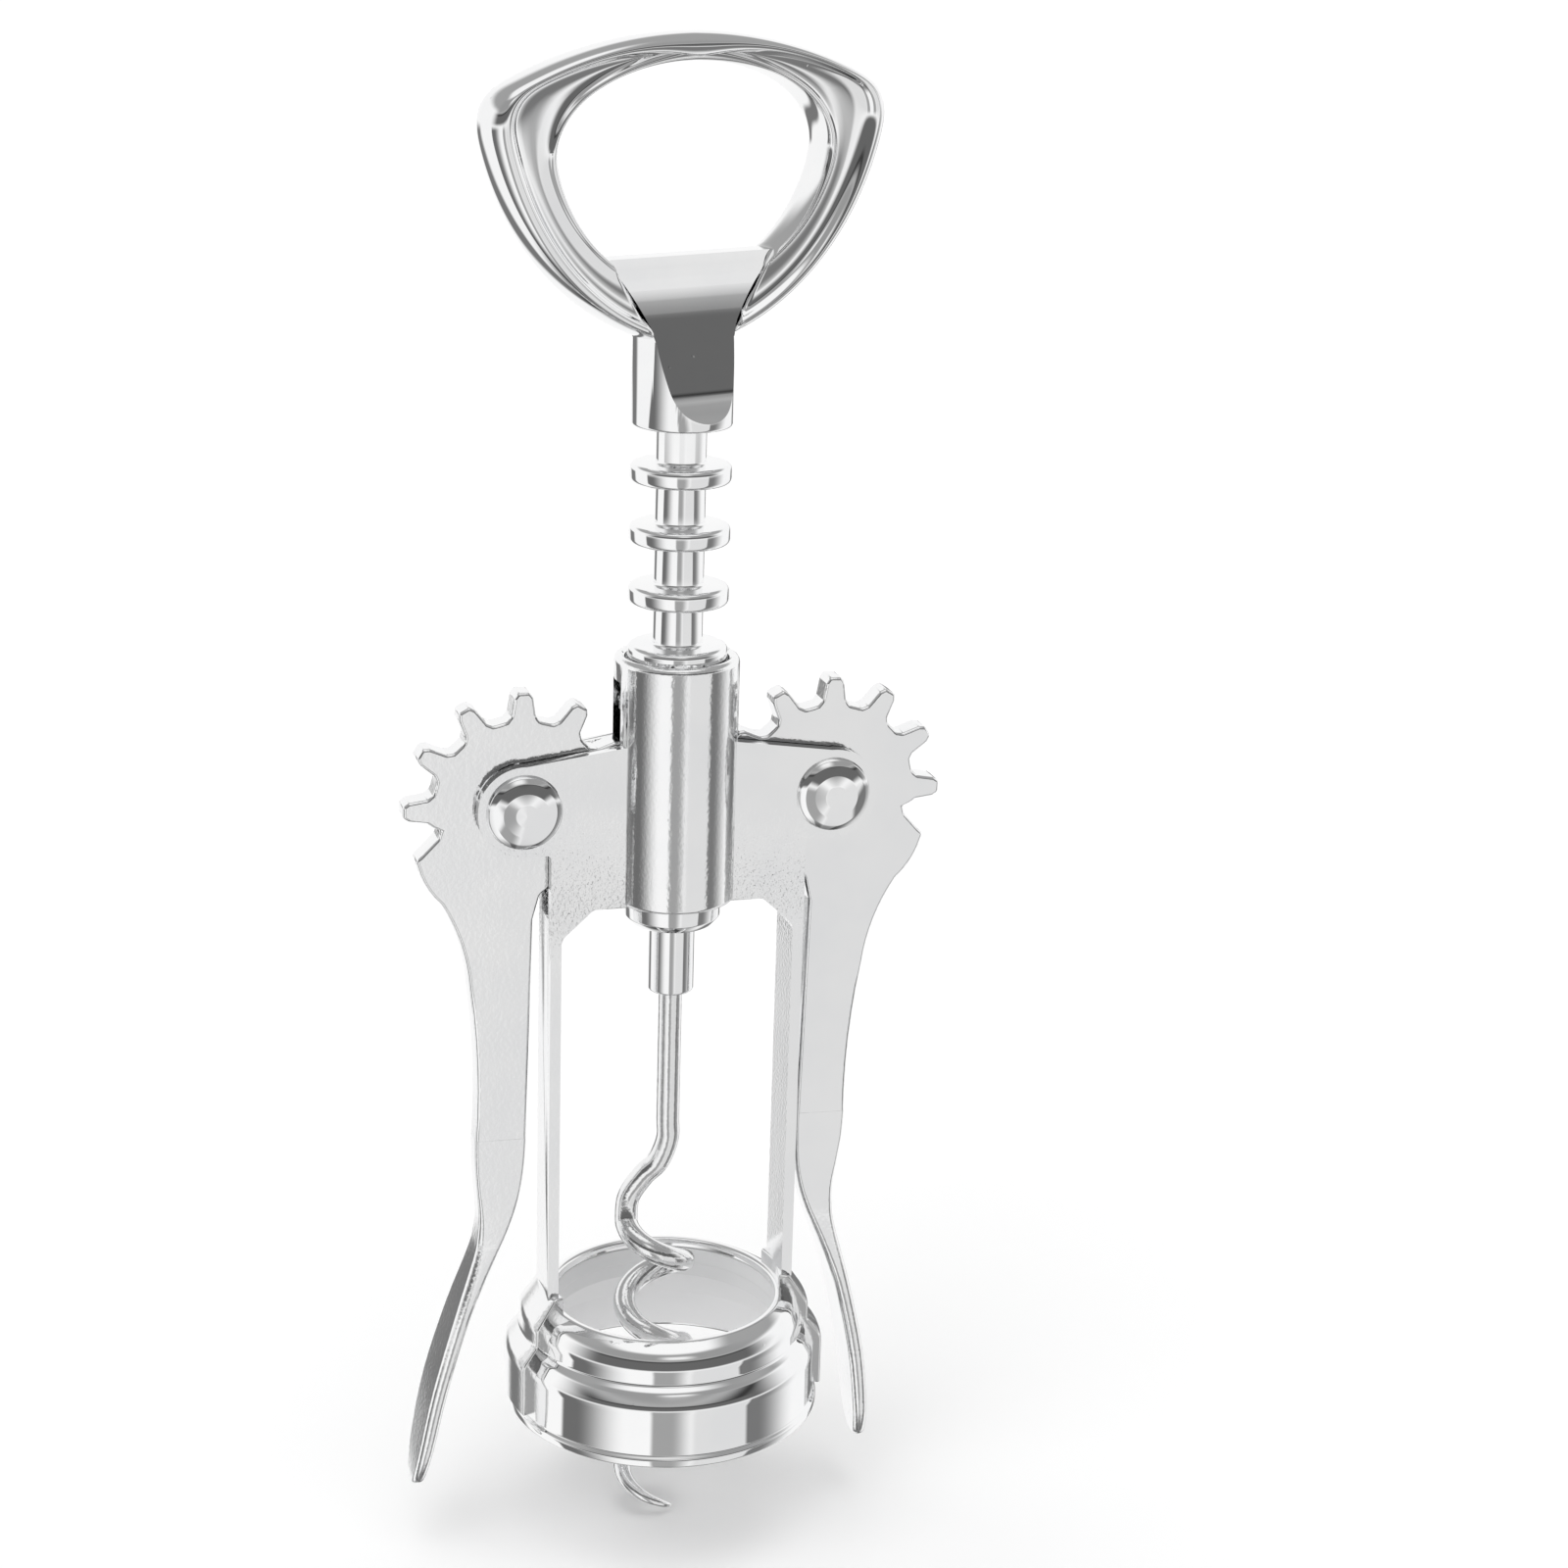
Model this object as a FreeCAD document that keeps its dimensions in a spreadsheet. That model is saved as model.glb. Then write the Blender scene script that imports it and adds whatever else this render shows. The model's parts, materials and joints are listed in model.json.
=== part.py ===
import FreeCAD, Part
import math
import os
import re
import Sketcher

# A two-lever corkscrew in millimetres, +Z up, its front towards -Y.
# The origin is the centre of the bell's bottom rim, where the bottle's neck enters.
# At rest both levers hang down and the worm is at the top of its travel.

# Every driving size: alias, value, meaning.
DIMENSIONS = [
    ("pivot_spread", 17.0, "each lever pivot from the centre line"),
    ("pivot_height", 71.65, "lever pivots above the bell's rim"),
    ("ring_pitch", 6.484, "step from one rack ring to the next"),
    ("ring_count", 8, "rings on the rack"),
    ("ring_radius", 5.32, "outer radius of a ring"),
    ("ring_thick", 2.0, "height of a ring"),
    ("ring_bevel", 0.5, "bevel round a ring's rims"),
    ("rack_drop", 0.3, "rack below the exact middle of its backlash"),
    ("shaft_radius", 2.65, "rack shaft"),
    ("spigot_length", 5.5, "rack shaft inside the handle's socket"),
    ("ferrule_radius", 2.5, "rack's lower end, which grips the worm"),
    ("ferrule_length", 8.0, "bare lower end of the rack"),
    ("worm_grip", 6.5, "worm wire inside the rack's lower end"),
    ("collar_radius", 5.2, "guide collar under the last ring"),
    ("collar_length", 3.2, "guide collar"),
    ("tube_wall", 1.1, "wall of the frame's tube"),
    ("bore_clear", 0.28, "ring to tube bore, radial"),
    ("tube_bottom", 60.2, "lower end of the tube"),
    ("tube_top", 87.4, "upper end of the tube"),
    ("slot_cap", 2.5, "closed ring of tube above the gear slot"),
    ("edge_break", 0.6, "bevel at the ends of the tube and socket"),
    ("lever_thick", 3.0, "lever casting"),
    ("side_clear", 0.2, "lever to cheek plate, each side"),
    ("cheek_thick", 1.3, "each cheek plate of the frame"),
    ("lobe_radius", 5.0, "rounded end of a cheek plate"),
    ("cheek_top", 79.0, "cheek plates where they meet the tube"),
    ("web_corner", 9.4, "cheek plate's lower corner from the centre line"),
    ("web_drop", 3.2, "slope from that corner down to the leg"),
    ("leg_gap", 1.4, "leg to the edge of the lever's arm beside it"),
    ("leg_thick", 1.2, "leg strip"),
    ("gear_root", 9.6, "lever gear at the bottom of its teeth"),
    ("tooth_reach", 2.4, "straight flank of a tooth above the root"),
    ("tooth_base", 2.75, "tooth width at its root"),
    ("tooth_tip", 2.0, "tooth width where its tip starts"),
    ("tooth_round", 1.15, "radius of a tooth's tip"),
    ("tooth_count", 7, "teeth on each lever"),
    ("tooth_angle", 30.0, "angle from tooth to tooth"),
    ("sweep_clear", 0.35, "gear tips to the frame"),
    ("pin_radius", 2.0, "lever pivot pin"),
    ("pin_clear", 0.06, "pin to lever, radial"),
    ("head_radius", 4.1, "pivot head"),
    ("head_rim", 0.7, "height of a pivot head's rim"),
    ("head_dome", 0.7, "height of the dome on that rim"),
    ("brow_out", 5.2, "arm's outer edge where it starts to flare, outside the pivot"),
    ("brow_drop", 20.0, "that place below the pivot"),
    ("flare_out", 8.4, "middle of the flare, outside the pivot"),
    ("flare_drop", 10.4, "that place below the pivot"),
    ("heel_out", 11.2, "heel after the last tooth, outside the pivot"),
    ("heel_drop", 5.2, "that place below the pivot"),
    ("notch_out", 8.1, "notch between heel and last tooth, outside the pivot"),
    ("notch_drop", 3.1, "that place below the pivot"),
    ("armpit_in", 1.5, "arm's inner edge under the gear, inside the pivot"),
    ("armpit_drop", 12.0, "that place below the pivot"),
    ("side_bow", 90.0, "radius of the arm's outer edge"),
    ("flare_bow", 22.0, "radius of the flare"),
    ("left_rest", 1.0, "left lever rests this many degrees open"),
    ("right_rest", 1.7, "right lever rests this many degrees shut"),
    ("right_set", 2.0, "right palm rest set inwards, degrees"),
    ("bell_height", 13.1, "bell"),
    ("bell_radius", 17.1, "bell's main wall"),
    ("bell_wall", 1.0, "bell's sheet"),
    ("bell_mouth", 12.5, "bell's upper opening"),
    ("rim_flat", 0.8, "flat rim round the upper opening"),
    ("step_radius", 15.4, "bell's upper step"),
    ("step_low", 9.0, "foot of the upper step"),
    ("step_high", 11.0, "head of the upper step"),
    ("wall_high", 7.2, "head of the main wall"),
    ("lip_out", 0.4, "rolled lip at the bottom, outwards"),
    ("lip_high", 0.9, "rolled lip at the bottom, height"),
    ("foot_thick", 0.9, "leg's foot over the bell"),
    ("foot_spread", 33.0, "angle that a foot covers"),
    ("foot_bottom", 1.6, "lower edge of a foot"),
    ("liner_wall", 1.0, "liner over the main wall"),
    ("liner_seat", 8.5, "ledge that the bottle's lip meets"),
    ("liner_bottom", 0.8, "liner's lower edge"),
    ("wire_radius", 1.28, "worm wire"),
    ("coil_radius", 3.3, "worm's helix to the wire's centre"),
    ("coil_pitch", 10.4, "worm's helix"),
    ("coil_shift", 1.2, "helix centre, towards the left of the shank"),
    ("coil_start", 21.15, "height where the helix is full"),
    ("coil_angle", 190.0, "direction of the wire at that height"),
    ("shank_end", 31.5, "height where the straight shank ends"),
    ("worm_tip", -13.2, "height of the worm's point"),
    ("point_turn", 200.0, "degrees of helix that taper to the point"),
    ("point_radius", 0.25, "wire at its point"),
    ("handle_turn", 20.0, "handle turned about the shaft"),
    ("neck_length", 3.988, "bare shaft between the top ring and the handle"),
    ("socket_radius", 5.3, "handle's socket"),
    ("socket_top", 11.0, "socket where the loop begins, above its base like the next heights"),
    ("handle_top", 39.9, "crown of the handle"),
    ("loop_thick", 5.2, "handle loop from front to back"),
    ("corner_out", 20.2, "centre of the loop's shoulder from the middle"),
    ("corner_high", 31.3, "height of that centre"),
    ("corner_radius", 4.0, "loop's shoulder"),
    ("shoulder_top", 25.0, "angle where the crown meets the shoulder, from straight up"),
    ("shoulder_low", 13.0, "angle where the side meets the shoulder, below level"),
    ("loop_side", 29.0, "bow of the loop's side"),
    ("loop_foot", 4.3, "loop's foot from the middle"),
    ("loop_sink", 2.0, "loop's foot below the top of the socket"),
    ("opening_half", 16.6, "cap opening from the middle to one side"),
    ("opening_top", 37.0, "cap opening's crown"),
    ("opening_mid", 28.2, "height of the cap opening's widest place"),
    ("lip_height", 17.7, "cap lip"),
    ("lip_half", 10.2, "cap lip from the middle to one end"),
    ("lip_depth", 1.2, "front and back scoops from the middle, at the lip"),
    ("scoop_depth", 2.1, "scoops from the middle at their upper bend"),
    ("scoop_high", 9.5, "height of that bend"),
    ("scoop_out", 3.3, "scoops from the middle at their lower bend"),
    ("scoop_low", 5.0, "height of that bend"),
    ("scoop_rise", 0.9, "lower end of the scoops above the socket's base"),
    ("scoop_margin", 1.0, "the scoops end this far inside the lip's ends"),
    ("opening_crown", 16.0, "radius of the opening's upper corners"),
    ("opening_side", 16.0, "radius of the opening's lower sides"),
    ("overrun", 1.0, "how far a cut starts outside the metal, or a tooth starts inside it"),
]

# The lever's arm and palm rest, from its waist down to its tip. Each row is a level below the
# pivot, how far its middle lies outside the pivot, its size across the arm, and half its depth.
# From its widening down the palm rest passes the bell, so there the middle is measured outside the
# bell's wall instead.
ARM_SECTIONS = [
    ("waist", 41.0, 1.50, 5.40, 1.5),
    ("neck", 47.0, 1.75, 3.90, 1.6),
    ("twist", 52.0, 3.10, 2.50, 2.3),
    ("palm", 58.7, 5.50, 1.80, 3.2),
    ("middle", 67.2, 7.90, 1.70, 3.6),
    ("lower", 74.5, 9.30, 1.60, 3.3),
    ("tip", 79.3, 10.00, 1.30, 1.6),
]

PAST_THE_BELL = ("palm", "middle", "lower", "tip")

# The wire's run-out between its shank and its helix: each place is x, y and z.
RUN_OUT = [
    ("bend", -1.0, 0.2, 28.7),
    ("slant", -2.5, 0.6, 27.0),
    ("elbow", -4.1, 0.9, 24.4),
    ("lead", -4.5, 0.3, 21.9),
]

os.makedirs("parts", exist_ok=True)
doc = FreeCAD.newDocument("corkscrew")
sheet = doc.addObject("Spreadsheet::Sheet", "dims")
rows = list(DIMENSIONS)
for name, drop, out, across, half in ARM_SECTIONS:
    rows.append((name + "_drop", drop, "below the pivot"))
    rows.append((name + "_out", out, "outside the pivot, or outside the bell's wall"))
    rows.append((name + "_across", across, "across the arm"))
    rows.append((name + "_half", half, "half its depth"))
for name, x, y, z in RUN_OUT:
    rows.append((name + "_x", x, "run-out to the side"))
    rows.append((name + "_y", y, "run-out to the back"))
    rows.append((name + "_z", z, "height of that place"))
for row, (alias, value, meaning) in enumerate(rows, start=1):
    sheet.set("A%d" % row, meaning)
    sheet.set("B%d" % row, str(value))
    sheet.setAlias("B%d" % row, alias)
doc.recompute()
ALIASES = {row[0] for row in rows}


def bound(expression):
    """Write an expression of aliases in the form that a property needs."""
    return re.sub(r"[a-z_]+", lambda word: "dims." + word[0] if word[0] in ALIASES else word[0], expression)


def number(expression):
    """The value of an expression of aliases."""
    return float(sheet.evalExpression(bound(expression)))


# Lengths that several pieces share.
SLOT_HALF = "(lever_thick / 2 + side_clear)"
FRAME_HALF = "(lever_thick / 2 + side_clear + cheek_thick)"
BORE = "(ring_radius + bore_clear)"
TUBE_OUTER = "(ring_radius + bore_clear + tube_wall)"
LEG_OUTER = "(pivot_spread - armpit_in - leg_gap)"
LEG_INNER = "(%s - leg_thick)" % LEG_OUTER
GEAR_TIP = "(gear_root + tooth_reach + tooth_round - sqrt(tooth_round ^ 2 - (tooth_tip / 2) ^ 2))"
LAST_RING = "(pivot_height - rack_drop - (ring_count - 6.5) * ring_pitch)"
COLLAR_TOP = "(%s - ring_thick / 2 - pin_clear)" % LAST_RING
COLLAR_BOTTOM = "(%s - collar_length)" % COLLAR_TOP
RACK_BOTTOM = "(%s - ferrule_length)" % COLLAR_BOTTOM
HANDLE_BASE = "(%s + (ring_count - 1) * ring_pitch + ring_thick / 2 + neck_length)" % LAST_RING


def new_body(label):
    body = doc.addObject("PartDesign::Body", label)
    body.Label = label
    return body


def new_sketch(body, name, role, height="0"):
    """A sketch on one of the body's origin planes, moved along the plane's normal."""
    sketch = body.newObject("Sketcher::SketchObject", name)
    plane = [item for item in body.Origin.OriginFeatures if item.Role == role][0]
    sketch.AttachmentSupport = [(plane, "")]
    sketch.MapMode = "FlatFace"
    if height != "0":
        sketch.AttachmentOffset = FreeCAD.Placement(
            FreeCAD.Vector(0, 0, number(height)), FreeCAD.Rotation())
        sketch.setExpression("AttachmentOffset.Base.z", bound(height))
    return sketch


def bind(sketch, constraint, expression):
    """Add a constraint whose size follows the sheet."""
    index = sketch.addConstraint(constraint)
    sketch.setExpression("Constraints[%d]" % index, bound(expression))


def outline(sketch, corners, arcs=None):
    """A closed outline through bound corners. arcs gives a radius to the side after a corner:
    positive bows to the left of the way round, negative to the right."""
    arcs = arcs or {}
    points = [FreeCAD.Vector(number(x), number(y), 0) for x, y in corners]
    count = len(points)
    for index in range(count):
        start = points[index]
        end = points[(index + 1) % count]
        if index in arcs:
            radius = number(arcs[index])
            half = (end - start) * 0.5
            side = FreeCAD.Vector(-half.y, half.x, 0).normalize() * math.copysign(1, radius)
            reach = math.sqrt(max(radius ** 2 - half.Length ** 2, 0))
            centre = start + half - side * reach
            turn = [math.atan2(point.y - centre.y, point.x - centre.x) for point in (start, end)]
            if radius > 0:
                turn.reverse()
            if turn[1] < turn[0]:
                turn[1] += 2 * math.pi
            round_edge = Part.Circle(centre, FreeCAD.Vector(0, 0, 1), abs(radius))
            sketch.addGeometry(Part.ArcOfCircle(round_edge, turn[0], turn[1]), False)
        else:
            sketch.addGeometry(Part.LineSegment(start, end), False)
    ends = []
    for index in range(count):
        start_tag, end_tag = 1, 2
        if index in arcs and number(arcs[index]) > 0:
            start_tag, end_tag = 2, 1
        ends.append((start_tag, end_tag))
    for index in range(count):
        after = (index + 1) % count
        sketch.addConstraint(Sketcher.Constraint(
            "Coincident", index, ends[index][1], after, ends[after][0]))
    for index, (x, y) in enumerate(corners):
        tag = ends[index][0]
        bind(sketch, Sketcher.Constraint("DistanceX", -1, 1, index, tag, points[index].x), x)
        bind(sketch, Sketcher.Constraint("DistanceY", -1, 1, index, tag, points[index].y), y)
    for index, radius in arcs.items():
        size = "abs(%s)" % radius
        bind(sketch, Sketcher.Constraint("Radius", index, number(size)), size)


def circle(sketch, x, y, radius):
    """A bound circle."""
    centre = FreeCAD.Vector(number(x), number(y), 0)
    index = sketch.addGeometry(Part.Circle(centre, FreeCAD.Vector(0, 0, 1), number(radius)), False)
    bind(sketch, Sketcher.Constraint("DistanceX", -1, 1, index, 3, centre.x), x)
    bind(sketch, Sketcher.Constraint("DistanceY", -1, 1, index, 3, centre.y), y)
    bind(sketch, Sketcher.Constraint("Radius", index, number(radius)), radius)


def extrude(body, kind, sketch, depth):
    """A Pad or Pocket that runs the same way to both sides of its sketch."""
    feature = body.newObject("PartDesign::" + kind, sketch.Name + "_" + kind.lower())
    feature.Profile = sketch
    feature.Midplane = True
    feature.Length = number(depth)
    feature.setExpression("Length", bound(depth))
    doc.recompute()
    return feature


def spin(body, kind, sketch, angle="360"):
    """A Revolution or Groove about the body's Z axis."""
    feature = body.newObject("PartDesign::" + kind, sketch.Name + "_" + kind.lower())
    feature.Profile = sketch
    feature.ReferenceAxis = (sketch, ["V_Axis"])
    feature.Midplane = True
    feature.Angle = number(angle)
    if angle != "360":
        feature.setExpression("Angle", bound(angle))
    doc.recompute()
    return feature


def bell_outer(extra="0"):
    """The bell's outside from its lip up to its rim, as far out as extra asks."""
    return [
        ("bell_radius + lip_out + " + extra, "0"),
        ("bell_radius + lip_out + " + extra, "lip_high"),
        ("bell_radius + " + extra, "lip_high + lip_out"),
        ("bell_radius + " + extra, "wall_high + " + extra),
        ("step_radius + " + extra, "step_low + " + extra),
        ("step_radius + " + extra, "step_high + " + extra),
        ("bell_mouth + rim_flat + " + extra, "bell_height + " + extra),
    ]


def make_frame():
    """The frame casting: tube, front and back cheek plates, legs and their feet."""
    body = new_body("frame")
    for side in ("-1", "1"):
        tag = "left" if side == "-1" else "right"
        corners = [
            ("%s * -1" % side, "tube_bottom"),
            ("%s * -1" % side, "cheek_top"),
            ("%s * pivot_spread" % side, "pivot_height + lobe_radius"),
            ("%s * pivot_spread" % side, "pivot_height - lobe_radius"),
            ("%s * %s" % (side, LEG_OUTER), "pivot_height - lobe_radius"),
            ("%s * %s" % (side, LEG_OUTER), "bell_height"),
            ("%s * %s" % (side, LEG_INNER), "bell_height"),
            ("%s * %s" % (side, LEG_INNER), "tube_bottom - web_drop"),
            ("%s * web_corner" % side, "tube_bottom"),
        ]
        cheek = new_sketch(body, tag + "_cheek", "XZ_Plane")
        outline(cheek, corners)
        extrude(body, "Pad", cheek, "2 * " + FRAME_HALF)
        lobe = new_sketch(body, tag + "_lobe", "XZ_Plane")
        circle(lobe, side + " * pivot_spread", "pivot_height", "lobe_radius")
        extrude(body, "Pad", lobe, "2 * " + FRAME_HALF)
        foot = new_sketch(body, tag + "_foot", "XZ_Plane")
        inner = bell_outer()[3:] + [(LEG_INNER, "bell_height")]
        outer = bell_outer("foot_thick")[3:6] + [(LEG_OUTER, "bell_height + 2 * foot_thick")]
        inner.insert(0, ("bell_radius", "foot_bottom"))
        inner.append((LEG_INNER, "bell_height + 2 * foot_thick"))
        outer.insert(0, ("bell_radius + foot_thick", "foot_bottom"))
        corners = [("%s * (%s)" % (side, x), z) for x, z in inner + outer[::-1]]
        outline(foot, corners)
        spin(body, "Revolution", foot, "foot_spread")
    tube = new_sketch(body, "tube", "XZ_Plane")
    outline(tube, [
        ("0", "tube_bottom"),
        (TUBE_OUTER + " - edge_break", "tube_bottom"),
        (TUBE_OUTER, "tube_bottom + edge_break"),
        (TUBE_OUTER, "tube_top - edge_break"),
        (TUBE_OUTER + " - edge_break", "tube_top"),
        ("0", "tube_top"),
    ])
    spin(body, "Revolution", tube)
    slot = new_sketch(body, "slot", "XZ_Plane")
    reach = "(pivot_spread + lobe_radius + overrun)"
    outline(slot, [
        ("-1 * " + reach, "pivot_height"),
        (reach, "pivot_height"),
        (reach, "tube_top - slot_cap"),
        ("-1 * " + reach, "tube_top - slot_cap"),
    ])
    extrude(body, "Pocket", slot, "2 * " + SLOT_HALF)
    for side in ("-1", "1"):
        tag = "left" if side == "-1" else "right"
        sweep = new_sketch(body, tag + "_sweep", "XZ_Plane")
        circle(sweep, side + " * pivot_spread", "pivot_height", GEAR_TIP + " + sweep_clear")
        extrude(body, "Pocket", sweep, "2 * " + SLOT_HALF)
        hole = new_sketch(body, tag + "_pin_hole", "XZ_Plane")
        circle(hole, side + " * pivot_spread", "pivot_height", "pin_radius")
        extrude(body, "Pocket", hole, "4 * " + FRAME_HALF)
    bore = new_sketch(body, "bore", "XZ_Plane")
    outline(bore, [
        ("0", "tube_bottom - overrun"),
        (BORE, "tube_bottom - overrun"),
        (BORE, "tube_top - edge_break / 2"),
        (BORE + " + edge_break", "tube_top + edge_break / 2"),
        ("0", "tube_top + edge_break / 2"),
    ])
    spin(body, "Groove", bore)
    return body


def make_bell():
    """The stepped metal ring that sits over the bottle's neck."""
    body = new_body("bell")
    ring = new_sketch(body, "bell_ring", "XZ_Plane")
    inside = [
        ("bell_mouth", "bell_height"),
        ("bell_mouth", "bell_height - bell_wall"),
        ("bell_mouth + rim_flat / 2", "bell_height - bell_wall"),
        ("step_radius - bell_wall", "step_high - bell_wall / 2"),
        ("step_radius - bell_wall", "step_low - bell_wall"),
        ("bell_radius - bell_wall", "wall_high - bell_wall"),
        ("bell_radius - bell_wall", "0"),
    ]
    outline(ring, bell_outer() + inside)
    spin(body, "Revolution", ring)
    return body


def make_liner():
    """The plastic lining of the bell, with the ledge that meets the bottle's lip."""
    body = new_body("bell_liner")
    ring = new_sketch(body, "liner_ring", "XZ_Plane")
    outline(ring, [
        ("bell_mouth", "bell_height - bell_wall"),
        ("bell_mouth + rim_flat / 2", "bell_height - bell_wall"),
        ("step_radius - bell_wall", "step_high - bell_wall / 2"),
        ("step_radius - bell_wall", "step_low - bell_wall"),
        ("bell_radius - bell_wall", "wall_high - bell_wall"),
        ("bell_radius - bell_wall", "liner_bottom"),
        ("bell_radius - bell_wall - liner_wall", "liner_bottom"),
        ("bell_radius - bell_wall - liner_wall", "wall_high - bell_wall - liner_wall"),
        ("bell_mouth + liner_wall", "liner_seat"),
        ("bell_mouth", "liner_seat"),
    ])
    spin(body, "Revolution", ring)
    return body


def make_lever(side):
    """One lever: gear, arm and palm rest, drawn about its pivot as the origin."""
    tag = "left" if side < 0 else "right"
    body = new_body(tag + "_lever")
    out = "%d" % side
    hub = new_sketch(body, tag + "_hub", "XZ_Plane")
    circle(hub, "0", "0", "gear_root")
    extrude(body, "Pad", hub, "lever_thick")
    tooth = new_sketch(body, tag + "_tooth", "XZ_Plane")
    inward = "-1 * " + out
    corners = [
        ("%s * (gear_root - overrun)" % inward, "-1 * tooth_base / 2"),
        ("%s * (gear_root + tooth_reach)" % inward, "-1 * tooth_tip / 2"),
        ("%s * (gear_root + tooth_reach)" % inward, "tooth_tip / 2"),
        ("%s * (gear_root - overrun)" % inward, "tooth_base / 2"),
    ]
    outline(tooth, corners, {1: ("tooth_round" if side > 0 else "-1 * tooth_round")})
    first = extrude(body, "Pad", tooth, "lever_thick")
    ring = body.newObject("PartDesign::PolarPattern", tag + "_teeth")
    ring.Originals = [first]
    ring.Axis = (tooth, ["N_Axis"])
    ring.Occurrences = int(number("tooth_count"))
    ring.setExpression("Occurrences", bound("tooth_count"))
    ring.Angle = number("tooth_angle * (tooth_count - 1)")
    ring.setExpression("Angle", bound("tooth_angle * (tooth_count - 1)"))
    ring.Reversed = side > 0
    body.Tip = ring
    doc.recompute()
    arm = new_sketch(body, tag + "_arm", "XZ_Plane")
    outline(arm, [
        (out + " * (waist_out - waist_across / 2)", "-1 * waist_drop"),
        (out + " * (waist_out + waist_across / 2)", "-1 * waist_drop"),
        (out + " * brow_out", "-1 * brow_drop"),
        (out + " * flare_out", "-1 * flare_drop"),
        (out + " * heel_out", "-1 * heel_drop"),
        (out + " * notch_out", "-1 * notch_drop"),
        (out + " * 0", "0"),
        (inward + " * gear_root * cos(45)", "-1 * gear_root * sin(45)"),
        (inward + " * armpit_in", "-1 * armpit_drop"),
    ], {1: "%d * side_bow" % side, 2: "%d * flare_bow" % side})
    extrude(body, "Pad", arm, "lever_thick")
    sections = []
    for name, drop, middle, across, half in ARM_SECTIONS:
        section = new_sketch(body, "%s_%s" % (tag, name), "XY_Plane", "-1 * %s_drop" % name)
        centre = "%s_out" % name
        if name in PAST_THE_BELL:
            centre = "(bell_radius + %s_out - pivot_spread)" % name
        if side > 0:
            centre = "(%s - (%s_drop - waist_drop) * tan(right_set))" % (centre, name)
        near = "%s * (%s - %s_across / 2)" % (out, centre, name)
        far = "%s * (%s + %s_across / 2)" % (out, centre, name)
        front = "-1 * %s_half" % name
        outline(section, [(near, front), (far, front), (far, "%s_half" % name), (near, "%s_half" % name)])
        sections.append(section)
    loft = body.newObject("PartDesign::AdditiveLoft", tag + "_palm_rest")
    loft.Profile = sections[0]
    loft.Sections = sections[1:]
    doc.recompute()
    hole = new_sketch(body, tag + "_pivot_hole", "XZ_Plane")
    circle(hole, "0", "0", "pin_radius + pin_clear")
    extrude(body, "Pocket", hole, "4 * lever_thick")
    rest = "left_rest" if side < 0 else "right_rest"
    body.Placement = FreeCAD.Placement(
        FreeCAD.Vector(side * number("pivot_spread"), 0, number("pivot_height")),
        FreeCAD.Rotation(FreeCAD.Vector(0, 1, 0), number(rest)))
    body.setExpression("Placement.Base.x", bound("%d * pivot_spread" % side))
    body.setExpression("Placement.Base.z", bound("pivot_height"))
    body.setExpression("Placement.Rotation.Angle", bound(rest))
    return body


def make_rivet(side):
    """One pivot: a pin through both cheek plates with a domed head on each end."""
    tag = "left" if side < 0 else "right"
    body = new_body(tag + "_pivot")
    head = "(%s + head_rim)" % FRAME_HALF
    dome = "(%s + head_dome)" % head
    sketch = new_sketch(body, tag + "_pivot_profile", "XZ_Plane")
    outline(sketch, [
        ("0", "-1 * " + dome),
        ("head_radius", "-1 * " + head),
        ("head_radius", "-1 * " + FRAME_HALF),
        ("pin_radius", "-1 * " + FRAME_HALF),
        ("pin_radius", FRAME_HALF),
        ("head_radius", FRAME_HALF),
        ("head_radius", head),
        ("0", dome),
    ], {0: "-1 * (head_radius ^ 2 + head_dome ^ 2) / (2 * head_dome)",
        6: "-1 * (head_radius ^ 2 + head_dome ^ 2) / (2 * head_dome)"})
    spin(body, "Revolution", sketch)
    body.Placement = FreeCAD.Placement(
        FreeCAD.Vector(side * number("pivot_spread"), 0, number("pivot_height")),
        FreeCAD.Rotation(FreeCAD.Vector(1, 0, 0), 90))
    body.setExpression("Placement.Base.x", bound("%d * pivot_spread" % side))
    body.setExpression("Placement.Base.z", bound("pivot_height"))
    return body


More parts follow.
